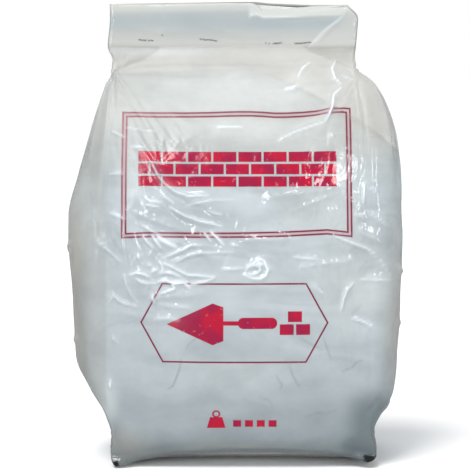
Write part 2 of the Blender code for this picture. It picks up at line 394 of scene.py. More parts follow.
HOLLOWS = creases(
    # Shallow valleys between the ridges, in the film and the powder alike; the film's colour also gets
    # painted shade along them
    (-0.6, 3, 0, -39.3, 99.5, -31.2, 96.9, -20.2, 93.6, -7.3, 90),
    (-0.6, 2.8, 0, -25.7, 103.9, -18.3, 100.2, -7.3, 96.2, 3.8, 93.6),
    (-0.5, 3.5, 0, 5, 103.4, 16.6, 106.1, 26, 107.8),
    (-0.5, 3.2, 0, 8, 95, 24, 98.4, 40.6, 101.3),
    (-0.6, 3.5, 0, 18, 80.8, 29.5, 83.4, 40.6, 85.6),
    (-0.5, 3, 0, 45, 93.3, 51.6, 91.4, 58.2, 88.1),
    (-0.6, 3, 0, 43.1, 83.4, 50.5, 79.6, 56.4, 77),
    (-0.7, 3, 0, 43.9, 73.8, 50.5, 75, 57.9, 74.2),
    (-0.5, 4, 0, 35.2, 64.4, 42.6, 60.7, 50, 57.7),
    (-0.5, 3, 0, -51.5, 89.6, -45.9, 84.5, -38.6, 78.6),
    (-0.5, 2.8, 0, -31.2, 80.8, -18.3, 84.5, -3.6, 85.6),
    (-0.4, 3, 0, -2.5, 78.6, 5.6, 81.8, 14.8, 81.1),
    (-0.5, 5, 0, -26, 118, -10, 122, 8, 121),
    (-0.5, 6, 0, -34, 44, -12, 37, 14, 40, 34, 33),
    (-0.4, 5, 0, -30, 19, -4, 25, 22, 22),
)

BACK_CREASES = creases(
    # A few plain folds on the back
    (0.6, 1.2, 0.3, -32, 151, -26, 140, -27, 127),
    (0.5, 1.2, 0.2, 8, 151, 12, 141, 10, 133),
    (0.6, 1.3, 0.3, 36, 149, 31, 137, 33, 122),
    (0.6, 1.3, 0.3, -24, 98, -6, 93, 14, 96),
    (0.5, 1.2, 0.2, 18, 84, 28, 79, 40, 81),
    (0.6, 1.2, 0.3, -40, 72, -28, 67, -14, 69),
    (0.5, 1.2, 0.2, 8, 58, 20, 53, 31, 54),
    (0.5, 1.4, 0.1, -36, 30, -24, 26, -16, 28),
)

RIGHT_CREASES = creases(
    # On the right side, by depth and height: the gusset's own fold, then the pulls around it
    (-0.9, 1.5, 0.1, 0, 152, 0.4, 134, 0, 116, 1, 98),
    (0.6, 1.2, 0.2, -3, 147, -8, 131, -13, 114),
    (0.6, 1.2, 0.2, 3, 147, 10, 129, 14, 110),
    (-0.8, 1.3, 0, -19, 21, -9, 23.5, 2, 24.5, 12, 22, 19, 16),
    (0.5, 2.2, 0, -15, 5, -8, 14, -2, 20),
    (0.5, 2.2, 0, 15, 5, 9, 13, 5, 19),
    (0.5, 1.4, 0.2, -14, 76, -4, 72, 8, 74),
    (0.5, 1.4, 0.1, -8, 54, 3, 50, 12, 53),
)

LEFT_CREASES = creases(
    # On the left side in the same way
    (-0.9, 1.5, 0.1, 0, 152, -0.4, 136, 0, 120, -1, 102),
    (0.6, 1.2, 0.2, -3, 147, -9, 130, -12, 116),
    (0.5, 1.2, 0.2, 3, 147, 8, 132, 13, 116),
    (-0.7, 1.3, 0, -18, 15, -8, 19, 4, 20, 14, 17, 19, 13),
    (0.5, 2.2, 0, -15, 4, -9, 12, -3, 17),
    (0.5, 1.4, 0.2, -10, 84, 2, 79, 12, 82),
    (0.4, 1.4, 0.1, -12, 48, -2, 45, 8, 47),
)

CRACKS = creases(
    # Hairline cracks in the powder, which show through the film
    (0, 0.33, 0.9, -20, 41.9, -20.7, 38, -21.9, 34.9, -23, 32.2, -24.9, 31),
    (0, 0.33, 0.8, 20.1, 40, 21.3, 36.5, 22.8, 33.4, 23.9, 32),
    (0, 0.33, 0.7, 15.3, 36.4, 16, 34.6, 17.4, 33, 17, 31.2),
    (0, 0.33, 0.6, 24.1, 50.2, 27.9, 47.9, 32.3, 45.7),
    (0, 0.33, 0.7, 32.7, 50.2, 34.2, 45.7, 35.7, 41.9),
    (0, 0.33, 0.8, 40, 37.2, 41.8, 38.2, 43.5, 38.6, 45, 40.4, 47.2, 41.2),
    (0, 0.33, 0.5, 26, 20, 30.4, 21.8, 34, 21.2, 38, 23),
    (0, 0.33, 0.5, -14, 50.6, -17.4, 47.6, -18.2, 45.6),
    (0, 0.33, 0.5, 9, 28, 12.6, 26.9, 14, 24.6),
)

BAND_CREASES = creases(
    # The front layer's edge hooks down, and the band is folded over at the right
    (0.4, 0.7, 0.3, 5.8, 169, 7.2, 169.9, 10.3, 170.9, 21, 171.3, 30, 171.6),
    (0.4, 1, 0.3, 42, 171.5, 31, 159),
    (0.35, 0.8, 0.3, 46.4, 168.5, 46.2, 165),
    (0.3, 1.3, 0.3, -47.5, 158.2, -20, 158.6, 10, 157.8, 46, 157),
    (0.25, 1.6, 0.3, -44, 166.5, -30, 163, -18, 164.5),
    (0.25, 1.8, 0.3, -12, 165.5, 4, 161.5, 20, 163.5),
)


@dataclass(frozen=True)
class Patch:
    """One soft patch of tone on the front: its middle and half size in millimetres, and its strength."""

    x: float
    z: float
    wide: float
    high: float
    amount: float


MASKS = ("layers", "cover", "contact", "dusty", "painted_shadow", "shade", "seal_and_glint", "crest", "edge", "pale", "crack")
# Patches of painted shade on the front
PAINTED_SHADE_PATCHES = (
    Patch(-46.8, 106, 7.0, 21, 0.46), Patch(49.3, 105, 5.4, 12, 0.20), Patch(-31.3, 119.6, 11.5, 9, 0.22),
    Patch(-38.0, 145, 13, 5.4, 0.16), Patch(-16, 153, 26, 3.0, 0.14), Patch(38, 146, 12, 7, 0.14),
    Patch(-16.7, 77.2, 21, 3.8, 0.14), Patch(-17.3, 98.8, 10.8, 3.8, 0.12), Patch(-7.0, 92.0, 5.4, 3.1, 0.12),
    Patch(48.5, 4.6, 8.5, 4.4, 0.52), Patch(-46.0, 9, 5.0, 8.0, 0.42), Patch(31.0, 26, 14, 9, 0.13),
    Patch(-34, 5, 14, 4, 0.25),
)
# Lighter patches on the front: partly paler powder, partly painted light
PALE_AND_LIT_PATCHES = (
    Patch(3.8, 140, 24, 8, 0.50), Patch(7.5, 127, 18, 5, 0.34), Patch(44.8, 69, 16, 12, 0.30),
    Patch(60.0, 55, 4, 20, 0.22), Patch(-48.3, 25, 3.6, 7, 0.28), Patch(30, 98, 14, 8, 0.12),
    Patch(2.7, 38.5, 23, 5, 0.14), Patch(-8.6, 25, 15, 5, 0.08),
)
# Patches of warmer, mostly darker tone on the front: partly tint, partly painted shade
WARM_TINT_AND_SHADE_PATCHES = (
    Patch(30.0, 98, 14, 9, 0.28), Patch(-45.0, 138, 8, 10, 0.30), Patch(0.0, 4.0, 30, 3.6, 0.40),
    Patch(-40.0, 8.0, 8, 7, 0.45), Patch(48.0, 134, 8, 9, 0.25), Patch(46, 74, 13, 16, 0.14),
    Patch(-24, 118, 22, 8, 0.18),
)
DULL_PATCHES = (Patch(-46, 106, 13, 22, 1.1),)
# Painted shadow where the film's front corners meet the floor, and in a pinch at the right
SHADOW_PATCHES = (Patch(49, 4, 9, 6, 1.0), Patch(-42, 1, 9, 4, 0.7))
# Each spot's middle, its half size, and how dark its painted shadow is
SHADOW_SPOTS = (
    ((-46.5, -21, 0.6), (3.0, 9, 2.6), 1.0), ((51.5, -21, 1.6), (3.4, 9, 2.6), 1.0),
    ((57.4, -8, 22.6), (1.3, 5, 1.0), 0.4),
)


def patch_tone(places: np.ndarray, patches: tuple[Patch, ...]) -> np.ndarray:
    """How strongly each point is toned by a set of patches, whose edges are uneven.

    Args:
        places: Points in metres.
        patches: The patches to add up.
    """
    x = places[..., 0] / MM + 5 * Crumple.swells(places + 7, 16 * MM)
    z = places[..., 2] / MM + 4 * Crumple.swells(places + 11, 13 * MM)
    return sum(one.amount * bell(x - one.x, one.wide) * bell(z - one.z, one.high) for one in patches)


def distance_to_path(x: np.ndarray, z: np.ndarray, path: np.ndarray) -> tuple[np.ndarray, np.ndarray]:
    """Measures how near points are to a path.

    Args:
        x: The points' places across.
        z: Their heights.
        path: The path's points, two numbers each.

    Returns:
        Each point's distance from the path, and how far along the path its nearest place is, from 0
        to 1.
    """
    lengths = np.linalg.norm(np.diff(path, axis=0), axis=1)
    total = lengths.sum()
    best = np.full(x.shape, np.inf)
    along = np.zeros(x.shape)
    done = 0.0
    for (ax, az), (bx, bz), length in zip(path[:-1], path[1:], lengths):
        share = ((x - ax) * (bx - ax) + (z - az) * (bz - az)) / length**2
        share = np.clip(share, 0.0, 1.0)
        gap = np.hypot(x - ax - share * (bx - ax), z - az - share * (bz - az))
        nearer = gap < best
        best = np.where(nearer, gap, best)
        along = np.where(nearer, (done + share * length) / total, along)
        done += length
    return best, along


def fold_height(x: np.ndarray, z: np.ndarray, folds: tuple[Crease, ...], tight: float = 1.0
                ) -> tuple[np.ndarray, np.ndarray]:
    """Adds up how far a set of creases lifts the film at each point, and how strongly they mark it: ridges
    with a white crest of stretch whitening and painted highlight, cracks with their darkness.

    Args:
        x: The points' places across, in metres.
        z: Their heights, in metres.
        folds: The creases.
        tight: What each crease's width is multiplied by.

    Returns:
        The lift at each point in metres, and its mark from 0 to 1: painted highlight with stretch whitening
        on ridges, darkness in cracks.
    """
    lift, white = np.zeros(x.shape), np.zeros(x.shape)
    for fold in folds:
        path = np.array(fold.path) * MM
        reach = 7 * fold.width * MM
        near = (
            (x > path[:, 0].min() - reach)
            & (x < path[:, 0].max() + reach)
            & (z > path[:, 1].min() - reach)
            & (z < path[:, 1].max() + reach)
        )
        gap, along = distance_to_path(x[near], z[near], path)
        taper = 0.25 + 0.75 * np.sin(math.pi * along) ** 0.6
        crest = np.exp(-((gap / (fold.width * tight * MM)) ** 1.2)) * taper
        lift[near] += fold.height * MM * crest
        # A thin white line along the crest with a faint broad halo: stretch whitening, painted highlight and
        # painted sheen
        thin = np.exp(-((gap / (max(0.32 * fold.width, 0.33) * MM)) ** 2))
        thin = thin + 0.16 * np.exp(-((gap / (1.9 * fold.width * MM)) ** 2))
        white[near] = np.maximum(white[near], fold.shine * thin * (0.3 + 0.7 * taper))
    return lift, white


class Crumple:
    """Uneven relief from noise in space, which reads the same at each run."""

    @staticmethod
    def swells(points: np.ndarray, scale: float) -> np.ndarray:
        """Soft swells and hollows from -1 to 1.

        Args:
            points: Places in metres.
            scale: The size of a swell, in metres.
        """
        flat = points.reshape(-1, 3) / scale
        made = [noise.noise(Vector(p), noise_basis="PERLIN_ORIGINAL") for p in flat]
        return np.array(made).reshape(points.shape[:-1])

    @staticmethod
    def facets(points: np.ndarray, scale: float, warp: float) -> np.ndarray:
        """Flat facets between sharp crests, as in film that was crushed: 0 in a facet's middle.

        Args:
            points: Places in metres.
            scale: The size of a facet, in metres.
            warp: How far the facets' pattern is bent, in facets.
        """
        noise.seed_set(NOISE_SEED)
        flat = points.reshape(-1, 3) / scale
        out = np.empty(len(flat))
        for i, p in enumerate(flat):
            v = Vector(p)
            v += warp * noise.noise_vector(v * 0.7)
            near = noise.voronoi(v)[0]
            out[i] = near[0]
        return out.reshape(points.shape[:-1])


def reckon(operation: str, turned: bool = False) -> Callable[..., Value]:
    """Makes a method that adds a Math node, with its two inputs turned round if so wished."""

    def method(self: Value, *others: object) -> Value:
        values = (self, *others)
        return self.wires.math(operation, *(reversed(values) if turned else values))

    return method


@dataclass(frozen=True, eq=False)
class Value:
    """What a node tree works out at one socket. It can be reckoned with like a number."""

    wires: Wires
    socket: bpy.types.NodeSocket

    __add__ = __radd__ = reckon("ADD")
    __mul__ = __rmul__ = reckon("MULTIPLY")
    __sub__, __rsub__ = reckon("SUBTRACT"), reckon("SUBTRACT", turned=True)
    __truediv__, __abs__ = reckon("DIVIDE"), reckon("ABSOLUTE")
    maximum, modulo = reckon("MAXIMUM"), reckon("MODULO")
    floor, fraction, root = reckon("FLOOR"), reckon("FRACT"), reckon("SQRT")

    def span(self, low: float, high: float, to_low: float = 0.0, to_high: float = 1.0) -> Value:
        """Maps a range onto another one, and keeps within it."""
        ends = (self, low, high, to_low, to_high)
        return self.wires.read("ShaderNodeMapRange", 0, dict(enumerate(ends)), clamp=True)


@dataclass
class Wires:
    """Adds nodes to one tree and links them, so that a material reads as a sum."""

    tree: bpy.types.NodeTree

    def feed(self, node: bpy.types.Node, values: dict[str | int, object]) -> None:
        """Links a node's inputs to other sockets, or sets their plain values."""
        for name, value in values.items():
            value = value.socket if isinstance(value, Value) else value
            if isinstance(value, bpy.types.NodeSocket):
                self.tree.links.new(value, node.inputs[name])
            else:
                node.inputs[name].default_value = value

    def node(self, kind: str, values: dict[str | int, object] | None = None, **settings: object
             ) -> bpy.types.Node:
        """Adds a node.

        Args:
            kind: The node's type.
            values: What its inputs get, by their names or places.
            settings: Its options.
        """
        made = self.tree.nodes.new(kind)
        for name, value in settings.items():
            setattr(made, name, value)
        self.feed(made, values or {})
        return made

    def read(self, kind: str, output: str | int, values: dict[str | int, object] | None = None,
             **settings: object) -> Value:
        """Adds a node and gives one of its outputs."""
        return Value(self, self.node(kind, values, **settings).outputs[output])

    def math(self, operation: str, *values: object, clamp: bool = False) -> Value:
        """Adds a Math node, whose result may be kept from 0 to 1."""
        inputs = dict(enumerate(values))
        return self.read("ShaderNodeMath", 0, inputs, operation=operation, use_clamp=clamp)

    def blend(self, share: object, low: object, high: object) -> Value:
        """Mixes two colours by a share. A plain colour is a tuple of three numbers."""
        low, high = ((*end, 1.0) if isinstance(end, tuple) else end for end in (low, high))
        return self.read("ShaderNodeMix", 2, {0: share, 6: low, 7: high}, data_type="RGBA")

    def noise(self, vector: object, scale: object, detail: float) -> Value:
        """Adds fractal noise."""
        values = {"Vector": vector, "Scale": scale, "Detail": detail}
        return self.read("ShaderNodeTexNoise", 0, values)

    def bump(self, height: object, strength: float, distance: float) -> Value:
        """Turns a height into a bumpy normal."""
        values = {"Strength": strength, "Distance": distance, "Height": height}
        return self.read("ShaderNodeBump", 0, values)

    def group(self, tree: bpy.types.NodeTree, **values: object) -> dict[str, Value]:
        """Places a node group with its own values, and gives its outputs by name."""
        made = self.node("ShaderNodeGroup", values, node_tree=tree)
        return {out.name: Value(self, out) for out in made.outputs}


def new_group(name: str, takes: dict[str, str], gives: tuple[str, ...]) -> (
    tuple[Wires, dict[str, Value], bpy.types.Node]
):
    """Starts a shader node group.

    Args:
        name: The group's name.
        takes: Each input's name and the last word of its socket type.
        gives: Each output's name. They are all numbers.

    Returns:
        The group's wires, its inputs by name, and its output node.
    """
    tree = bpy.data.node_groups.new(name, "ShaderNodeTree")
    for way, sockets in (("INPUT", takes), ("OUTPUT", dict.fromkeys(gives, "Float"))):
        for socket, kind in sockets.items():
            tree.interface.new_socket(name=socket, in_out=way, socket_type="NodeSocket" + kind)
    wires = Wires(tree)
    given = wires.node("NodeGroupInput").outputs
    return wires, {socket: Value(wires, given[socket]) for socket in takes}, wires.node("NodeGroupOutput")


def new_material(name: str) -> tuple[bpy.types.Material, Wires, bpy.types.Node]:
    """Starts a material, and gives it with its wires and its shader."""
    made = bpy.data.materials.new(name)
    made.use_nodes = True
    return made, Wires(made.node_tree), made.node_tree.nodes["Principled BSDF"]


def crumple_group() -> bpy.types.NodeTree:
    """Makes the fine crumple of handled film."""
    wires, takes, gives = new_group(
        "fine_crumple", {"Vector": "Vector", "Scale": "Float", "Warp": "Float"}, ("Height",)
    )
    vector, scale = takes["Vector"], takes["Scale"]
    bend = wires.read("ShaderNodeTexNoise", "Color", {"Vector": vector, "Scale": scale * 0.6})
    bend = wires.read("ShaderNodeVectorMath", 0, {0: bend, "Scale": takes["Warp"]}, operation="SCALE")
    moved = wires.read("ShaderNodeVectorMath", 0, {0: vector, 1: bend}, operation="ADD")
    large, small = (
        wires.read("ShaderNodeTexVoronoi", "Distance", {"Vector": moved, "Scale": scale * size},
                   feature="F1", distance="EUCLIDEAN")
        for size in (1.0, 2.3)
    )
    wires.feed(gives, {"Height": large + small * 0.42})
    return wires.tree


def powder_group() -> bpy.types.NodeTree:
    """Makes the uneven tone and the grain of packed powder."""
    wires, takes, gives = new_group(
        "powder_grain", {"Vector": "Vector", "Grain": "Float", "Patches": "Float"},
        ("Tone", "Height", "Smear"),
    )
    vector = takes["Vector"]
    patches = wires.noise(vector, takes["Patches"], 4.0)
    slant = {"Vector": vector, "Rotation": (0.0, 0.3, 0.0), "Scale": (0.55, 1.0, 1.5)}
    smear = wires.read("ShaderNodeTexNoise", 0, {
        "Vector": wires.read("ShaderNodeMapping", 0, slant),
        "Scale": 42.0, "Detail": 4.0, "Roughness": 0.45, "Distortion": 1.6,
    })
    fine = wires.noise(vector, takes["Grain"], 3.0)
    tone = fine * 0.3 + patches * 0.7
    wires.feed(gives, {"Smear": smear.span(0.40, 0.64), "Tone": tone, "Height": fine})
    return wires.tree


@dataclass
class Print:
    """The one-colour print on the film's front: a double frame, a course of bricks and a trowel.

    Sizes are in millimetres. Places are across the bag and up from the floor.
    """

    line: float = 0.62
    edge: float = 0.16
    frame_middle: Place = (0.6, 110.7)
    frame_half: Place = (42.5, 22.9)
    frame_lean: float = 0.009
    frame_gap: float = 1.4
    brick: Place = (9.3, 4.5)
    joint: float = 0.75
    wall_middle: Place = (0.9, 112.2)
    wall_half: Place = (37.2, 6.75)
    badge_middle: Place = (-0.3, 55.8)
    badge_half: Place = (34.5, 14.6)
    badge_slant: float = 0.55
    mark_middle: Place = (2.0, 18.6)

    def group(self) -> bpy.types.NodeTree:
        """Builds the node group that gives the ink's masks from the film's own map."""
        wires, takes, gives = new_group("front_print", {"Vector": "Vector"}, ("Ink", "Thin", "Blush"))
        grown = {0: takes["Vector"], "Scale": 1 / MM}
        place = wires.read("ShaderNodeVectorMath", 0, grown, operation="SCALE")
        split = wires.node("ShaderNodeSeparateXYZ", {0: place}).outputs
        x, z = Value(wires, split[0]), Value(wires, split[1])
        rim, *badge = self.badge(x, z)
        thin = self.frame(x, z).maximum(rim)
        ink = self.wall(x, z)
        for part in badge + self.mark(x, z) + [thin]:
            ink = ink.maximum(part)
        wires.feed(gives, {"Ink": ink, "Thin": thin, "Blush": self.blush(x, z)})
        return wires.tree

    def frame_rim(self, x: Value, z: Value) -> Value:
        """The distance to the frame's outer line, which leans a little."""
        return self.box(x, x * -self.frame_lean + z, self.frame_middle, self.frame_half)

    def blush(self, x: Value, z: Value) -> Value:
        """The faint spread of colour between the frame's two lines."""
        gap = abs(self.frame_rim(x, z) + self.frame_gap / 2)
        return gap.span(self.frame_gap * 0.5, self.frame_gap * 1.1, 1.0, 0.0)

    def capsule(self, x: Value, z: Value, middle: Place, half: float, radius: float) -> Value:
        """The distance to a level bar with round ends."""
        past = (abs(x - middle[0]) - half).maximum(0.0)
        up = z - middle[1]
        return (past * past + up * up).root() - radius

    def inside(self, distance: Value) -> Value:
        """Turns a distance into a mask that is 1 inside, with a soft edge."""
        return distance.span(-self.edge / 2, self.edge / 2, 1.0, 0.0)

    def stroke(self, distance: Value, at: float = 0.0) -> Value:
        """Turns a distance into the mask of a line that runs where the distance has a value."""
        return self.inside(abs(distance - at) - self.line / 2)

    def box(self, x: Value, z: Value, middle: Place, half: Place) -> Value:
        """The distance to a box, sharp at its corners."""
        return (abs(x - middle[0]) - half[0]).maximum(abs(z - middle[1]) - half[1])

    def polygon(self, x: Value, z: Value, corners: tuple[Place, ...]) -> Value:
        """The distance to a convex polygon, whose corners run anticlockwise."""
        sides = []
        for (ax, az), (bx, bz) in zip(corners, corners[1:] + corners[:1]):
            length = math.hypot(bx - ax, bz - az)
            nx, nz = (bz - az) / length, -(bx - ax) / length
            sides.append(z * nz + (x * nx - (ax * nx + az * nz)))
        return reduce(Value.maximum, sides)

    def frame(self, x: Value, z: Value) -> Value:
        """The double line around the printed field."""
        rim = self.frame_rim(x, z)
        return self.stroke(rim).maximum(self.stroke(rim, -self.frame_gap))

    def wall(self, x: Value, z: Value) -> Value:
        """A low wall of solid bricks in running bond, with half bricks at its ends."""
        length, height = self.brick
        left, low = (middle - half for middle, half in zip(self.wall_middle, self.wall_half))
        rise = (z - low) / height
        odd = abs(rise.floor().modulo(2.0))
        run = odd * 0.5 + (x - left) / length
        across, up = (abs(value.fraction() - 0.5) for value in (run, rise))
        gap_x = across * length + (self.joint - length) / 2
        gap_z = up * height + (self.joint - height) / 2
        half = (self.wall_half[0] - self.joint / 2, self.wall_half[1])
        return self.inside(gap_x.maximum(gap_z)) * self.inside(self.box(x, z, self.wall_middle, half))

    def badge(self, x: Value, z: Value) -> list[Value]:
        """A stretched six-sided outline with a trowel and three bricks in it."""
        cx, cz = self.badge_middle
        hw, hh = self.badge_half
        tip = hh * self.badge_slant
        outline = ((cx - hw, cz), (cx - hw + tip, cz - hh), (cx + hw - tip, cz - hh), (cx + hw, cz),
                   (cx + hw - tip, cz + hh), (cx - hw + tip, cz + hh))
        blade = ((cx - 25, cz - 0.5), (cx - 8, cz - 8.2), (cx - 4, cz - 6.6), (cx - 4, cz + 6.0),
                 (cx - 8, cz + 7.4))
        filled = [self.polygon(x, z, blade), self.box(x, z, (cx - 0.6, cz), (3.6, 0.8)),
                  self.capsule(x, z, (cx + 8.6, cz), 5.2, 2.1)]
        filled += [self.box(x, z, (cx + dx, cz + dz), (2.6, 2.0))
                   for dx, dz in ((22.4, 2.4), (19.4, -2.4), (25.4, -2.4))]
        return [self.stroke(self.polygon(x, z, outline))] + [self.inside(form) for form in filled]

    def mark(self, x: Value, z: Value) -> list[Value]:
        """A scale weight and a short row of squares."""
        cx, cz = self.mark_middle
        body = ((cx - 12.5, cz - 3.2), (cx - 5.5, cz - 3.2), (cx - 6.7, cz + 1.6), (cx - 11.3, cz + 1.6))
        dx, dz = x - (cx - 9.0), z - (cz + 2.9)
        ring = self.stroke((dx * dx + dz * dz).root(), 1.2)
        squares = [self.box(x, z, (cx - 1.2 + 4.4 * step, cz - 1.2), (1.5, 1.5)) for step in range(4)]
        return [ring] + [self.inside(form) for form in [self.polygon(x, z, body), *squares]]


@dataclass(frozen=True)
class FilmFinish:
    """Clear polyethylene film, filmed with dust inside, with one ink on its front, and painted shade, shadow
    and highlights.
    """

    contact: Colour = (0.54, 0.592, 0.614)
    empty: Colour = (0.505, 0.50, 0.462)
    layered: Colour = (0.340, 0.384, 0.402)
    # Dark blue grey of painted shade, laid by the shade mask
    low: Colour = (0.155, 0.19, 0.205)
    # Pale film of the weld line, the strip and the fold, and of painted highlights along the band's edge and
    # fold
    seal_and_glint: Colour = (0.63, 0.67, 0.67)
    ink: Colour = (0.40, 0.004, 0.028)
    dark_ink: Colour = (0.27, 0.006, 0.042)
    line: Colour = (0.165, 0.014, 0.046)
    # Darker warm grey: a tint of doubled film, with painted shade down the sides
    warm: Colour = (0.40, 0.385, 0.345)
    # Lighter tone of the pale patches: partly paler powder, partly painted light
    pale: Colour = (0.80, 0.82, 0.795)
    # Near black of painted shadow at the corners and the pinch
    painted_shadow: Colour = (0.006, 0.006, 0.007)
    # Pale bluish white of the crests: stretch whitening with a painted highlight
    crest: Colour = (0.88, 0.955, 1.0)
    vein: Colour = (0.25, 0.29, 0.32)

    def material(self, print_: Print, crumple: bpy.types.NodeTree, powder: bpy.types.NodeTree
                 ) -> bpy.types.Material:
        """Builds the material.

        Args:
            print_: The print on the front.
            crumple: The shared fine crumple group.
            powder: The shared powder group, whose smears show through the film.
        """
        made, wires, shader = new_material("clear_film_printed")
        place = wires.read("ShaderNodeTexCoord", "Object")
        film_map = wires.read("ShaderNodeUVMap", 0, uv_map="film")
        mask = {name: wires.read("ShaderNodeAttribute", "Fac", attribute_name=name) for name in MASKS}
        cloud = wires.noise(place, 70.0, 5.0).span(0.35, 0.68)
        inked = wires.group(print_.group(), Vector=film_map)
        ink = inked["Ink"] * wires.noise(place, 520.0, 3.0).span(0.28, 0.36, 0.75, 1.0)
        pool = wires.noise(place, 130.0, 3.0).span(0.40, 0.60)
        solid = wires.blend(pool, self.ink, self.dark_ink)
        seen = wires.group(powder, Vector=place, Grain=900.0, Patches=34.0)
        under = wires.blend(seen["Smear"] * 0.34, self.contact, self.vein)
        under = wires.blend(mask["crack"] * 0.7, under, self.vein)
        colour = wires.blend(mask["contact"], self.empty, under)
        # Over the powder's tone go painted shade, pale patches with painted light, a warm tint with painted
        # shade at the sides, the band's layers, the weld line with painted highlights, painted shadow, the
        # print, and crests of painted highlight
        for share, over in (
            (mask["shade"], self.low), (mask["pale"], self.pale), (mask["edge"], self.warm),
            (mask["layers"], self.layered), (mask["seal_and_glint"] * 0.8, self.seal_and_glint), (mask["painted_shadow"], self.painted_shadow),
            (inked["Blush"] * 0.30, self.ink), (ink, wires.blend(inked["Thin"], solid, self.line)),
            (mask["crest"], self.crest),
        ):
            colour = wires.blend(share, colour, over)
        alpha = mask["contact"] * 0.22 + (cloud * 0.14 + 0.50)
        for other in (mask["cover"] * 0.94, mask["painted_shadow"] * 0.97, ink, mask["crest"]):
            alpha = alpha.maximum(other)
        fine = wires.group(crumple, Vector=place, Scale=260.0, Warp=0.004)["Height"]
        wires.feed(shader, {
            "Base Color": colour, "Alpha": alpha, "Normal": wires.bump(fine, 0.11, 0.6 * MM),
            "Roughness": mask["dusty"] * 0.26 + (cloud * 0.08 + 0.07),
            "IOR": 1.5, "Specular IOR Level": 0.7,
        })
        return made


@dataclass(frozen=True)
class PowderFinish:
    """Packed cement powder: pale, matte, a little uneven in tone, and painted darker towards the floor as
    shade.
    """

    pale: Colour = (0.56, 0.58, 0.57)
    # Darker tone for uneven patches, and for the painted shade near the floor
    deep: Colour = (0.37, 0.41, 0.43)
    patches: float = 34.0
    grain: float = 900.0

    def material(self, name: str, powder: bpy.types.NodeTree) -> bpy.types.Material:
        """Builds the material.

        Args:
            name: The material's name.
            powder: The shared powder group.
        """
        made, wires, shader = new_material(name)
        place = wires.read("ShaderNodeTexCoord", "Object")
        grains = wires.group(powder, Vector=place, Grain=self.grain, Patches=self.patches)
        # Painted shade: the powder darkens towards the floor
        low = wires.read("ShaderNodeSeparateXYZ", 2, {0: place}).span(0.002, 0.085, 1.0, 0.0)
        tone = grains["Tone"].span(0.36, 0.62)
        share = wires.math("MULTIPLY_ADD", tone, 0.45, low * 0.55, clamp=True)
        wires.feed(shader, {
            "Base Color": wires.blend(share, self.pale, self.deep), "Roughness": 0.92,
            "Specular IOR Level": 0.2, "Normal": wires.bump(grains["Height"], 0.3, 0.4 * MM),
        })
        return made


def put_in_scene(name: str, mesh: bpy.types.Mesh) -> bpy.types.Object:
    """Links a finished mesh into the scene as an object at the origin."""
    made = bpy.data.objects.new(name, mesh)
    bpy.context.scene.collection.objects.link(made)
    return made


def grid_faces(rows: int, columns: int) -> np.ndarray:
    """The faces between the rings of a closed grid, wound to face outwards."""
    row, column = np.meshgrid(np.arange(rows - 1), np.arange(columns), indexing="ij")
    after = (column + 1) % columns
    corners = (
        row * columns + column,
        row * columns + after,
        (row + 1) * columns + after,
        (row + 1) * columns + column,
    )
    return np.stack(corners, axis=-1).reshape(-1, 4)


@dataclass(frozen=True)
class PowderTop:
    """The line that the powder's upper surface follows across the bag."""

    left: float = 147.0 * MM
    middle: float = 149.0 * MM
    right: float = 119.0 * MM
    slope_start: float = 7.5 * MM
    slope_end: float = 60.0 * MM

    def heights(self, x: np.ndarray) -> np.ndarray:
        """The height of the powder's upper surface at places across the bag."""
        rise = np.clip((x + 47 * MM) / (self.slope_start + 47 * MM), 0, 1)
        fall = np.clip((x - self.slope_start) / (self.slope_end - self.slope_start), 0, 1)
        return np.where(
            x < self.slope_start,
            self.left + (self.middle - self.left) * rise,
            self.middle + (self.right - self.middle) * fall**1.15,
        )


POWDER_TOP = PowderTop()


@dataclass(frozen=True)
class FootArch:
    """How the bag's lower front edge lifts off the floor between its two corners, in millimetres."""

    across: tuple[float, ...] = (-47.5, -44.0, -36.0, -21.0, 9.5, 37.0, 47.0, 54.0)
    lift: tuple[float, ...] = (0.0, 0.2, 1.6, 4.4, 5.7, 4.2, 2.6, 0.6)
    fade: float = 24.0
    front: float = 21.0
    rear: float = 2.0

    def lifted(self, points: np.ndarray) -> np.ndarray:
        """Lifts the lower front edge of a set of points."""
        x, y, z = (points[..., i] / MM for i in range(3))
        rise = eased(np.array(self.across), np.array(self.lift), np.clip(x, -47.5, 54.0))
        forward = smooth_step(self.rear, self.front, -y)
        out = points.copy()
        out[..., 2] += rise * forward * np.clip(1 - z / self.fade, 0, 1) ** 2 * MM
        return out

    def cornered(self, points: np.ndarray) -> np.ndarray:
        """Pulls the film's lowest corners out to points in front and behind."""
        x, z = points[..., 0] / MM, points[..., 2] / MM
        corner = smooth_step(34, 43, -x) + smooth_step(40, 49, x)
        out = points.copy()
        out[..., 1] *= 1 + 0.34 * corner * np.clip(1 - z / 4.5, 0, 1) ** 1.5
        return out


FOOT_ARCH = FootArch()


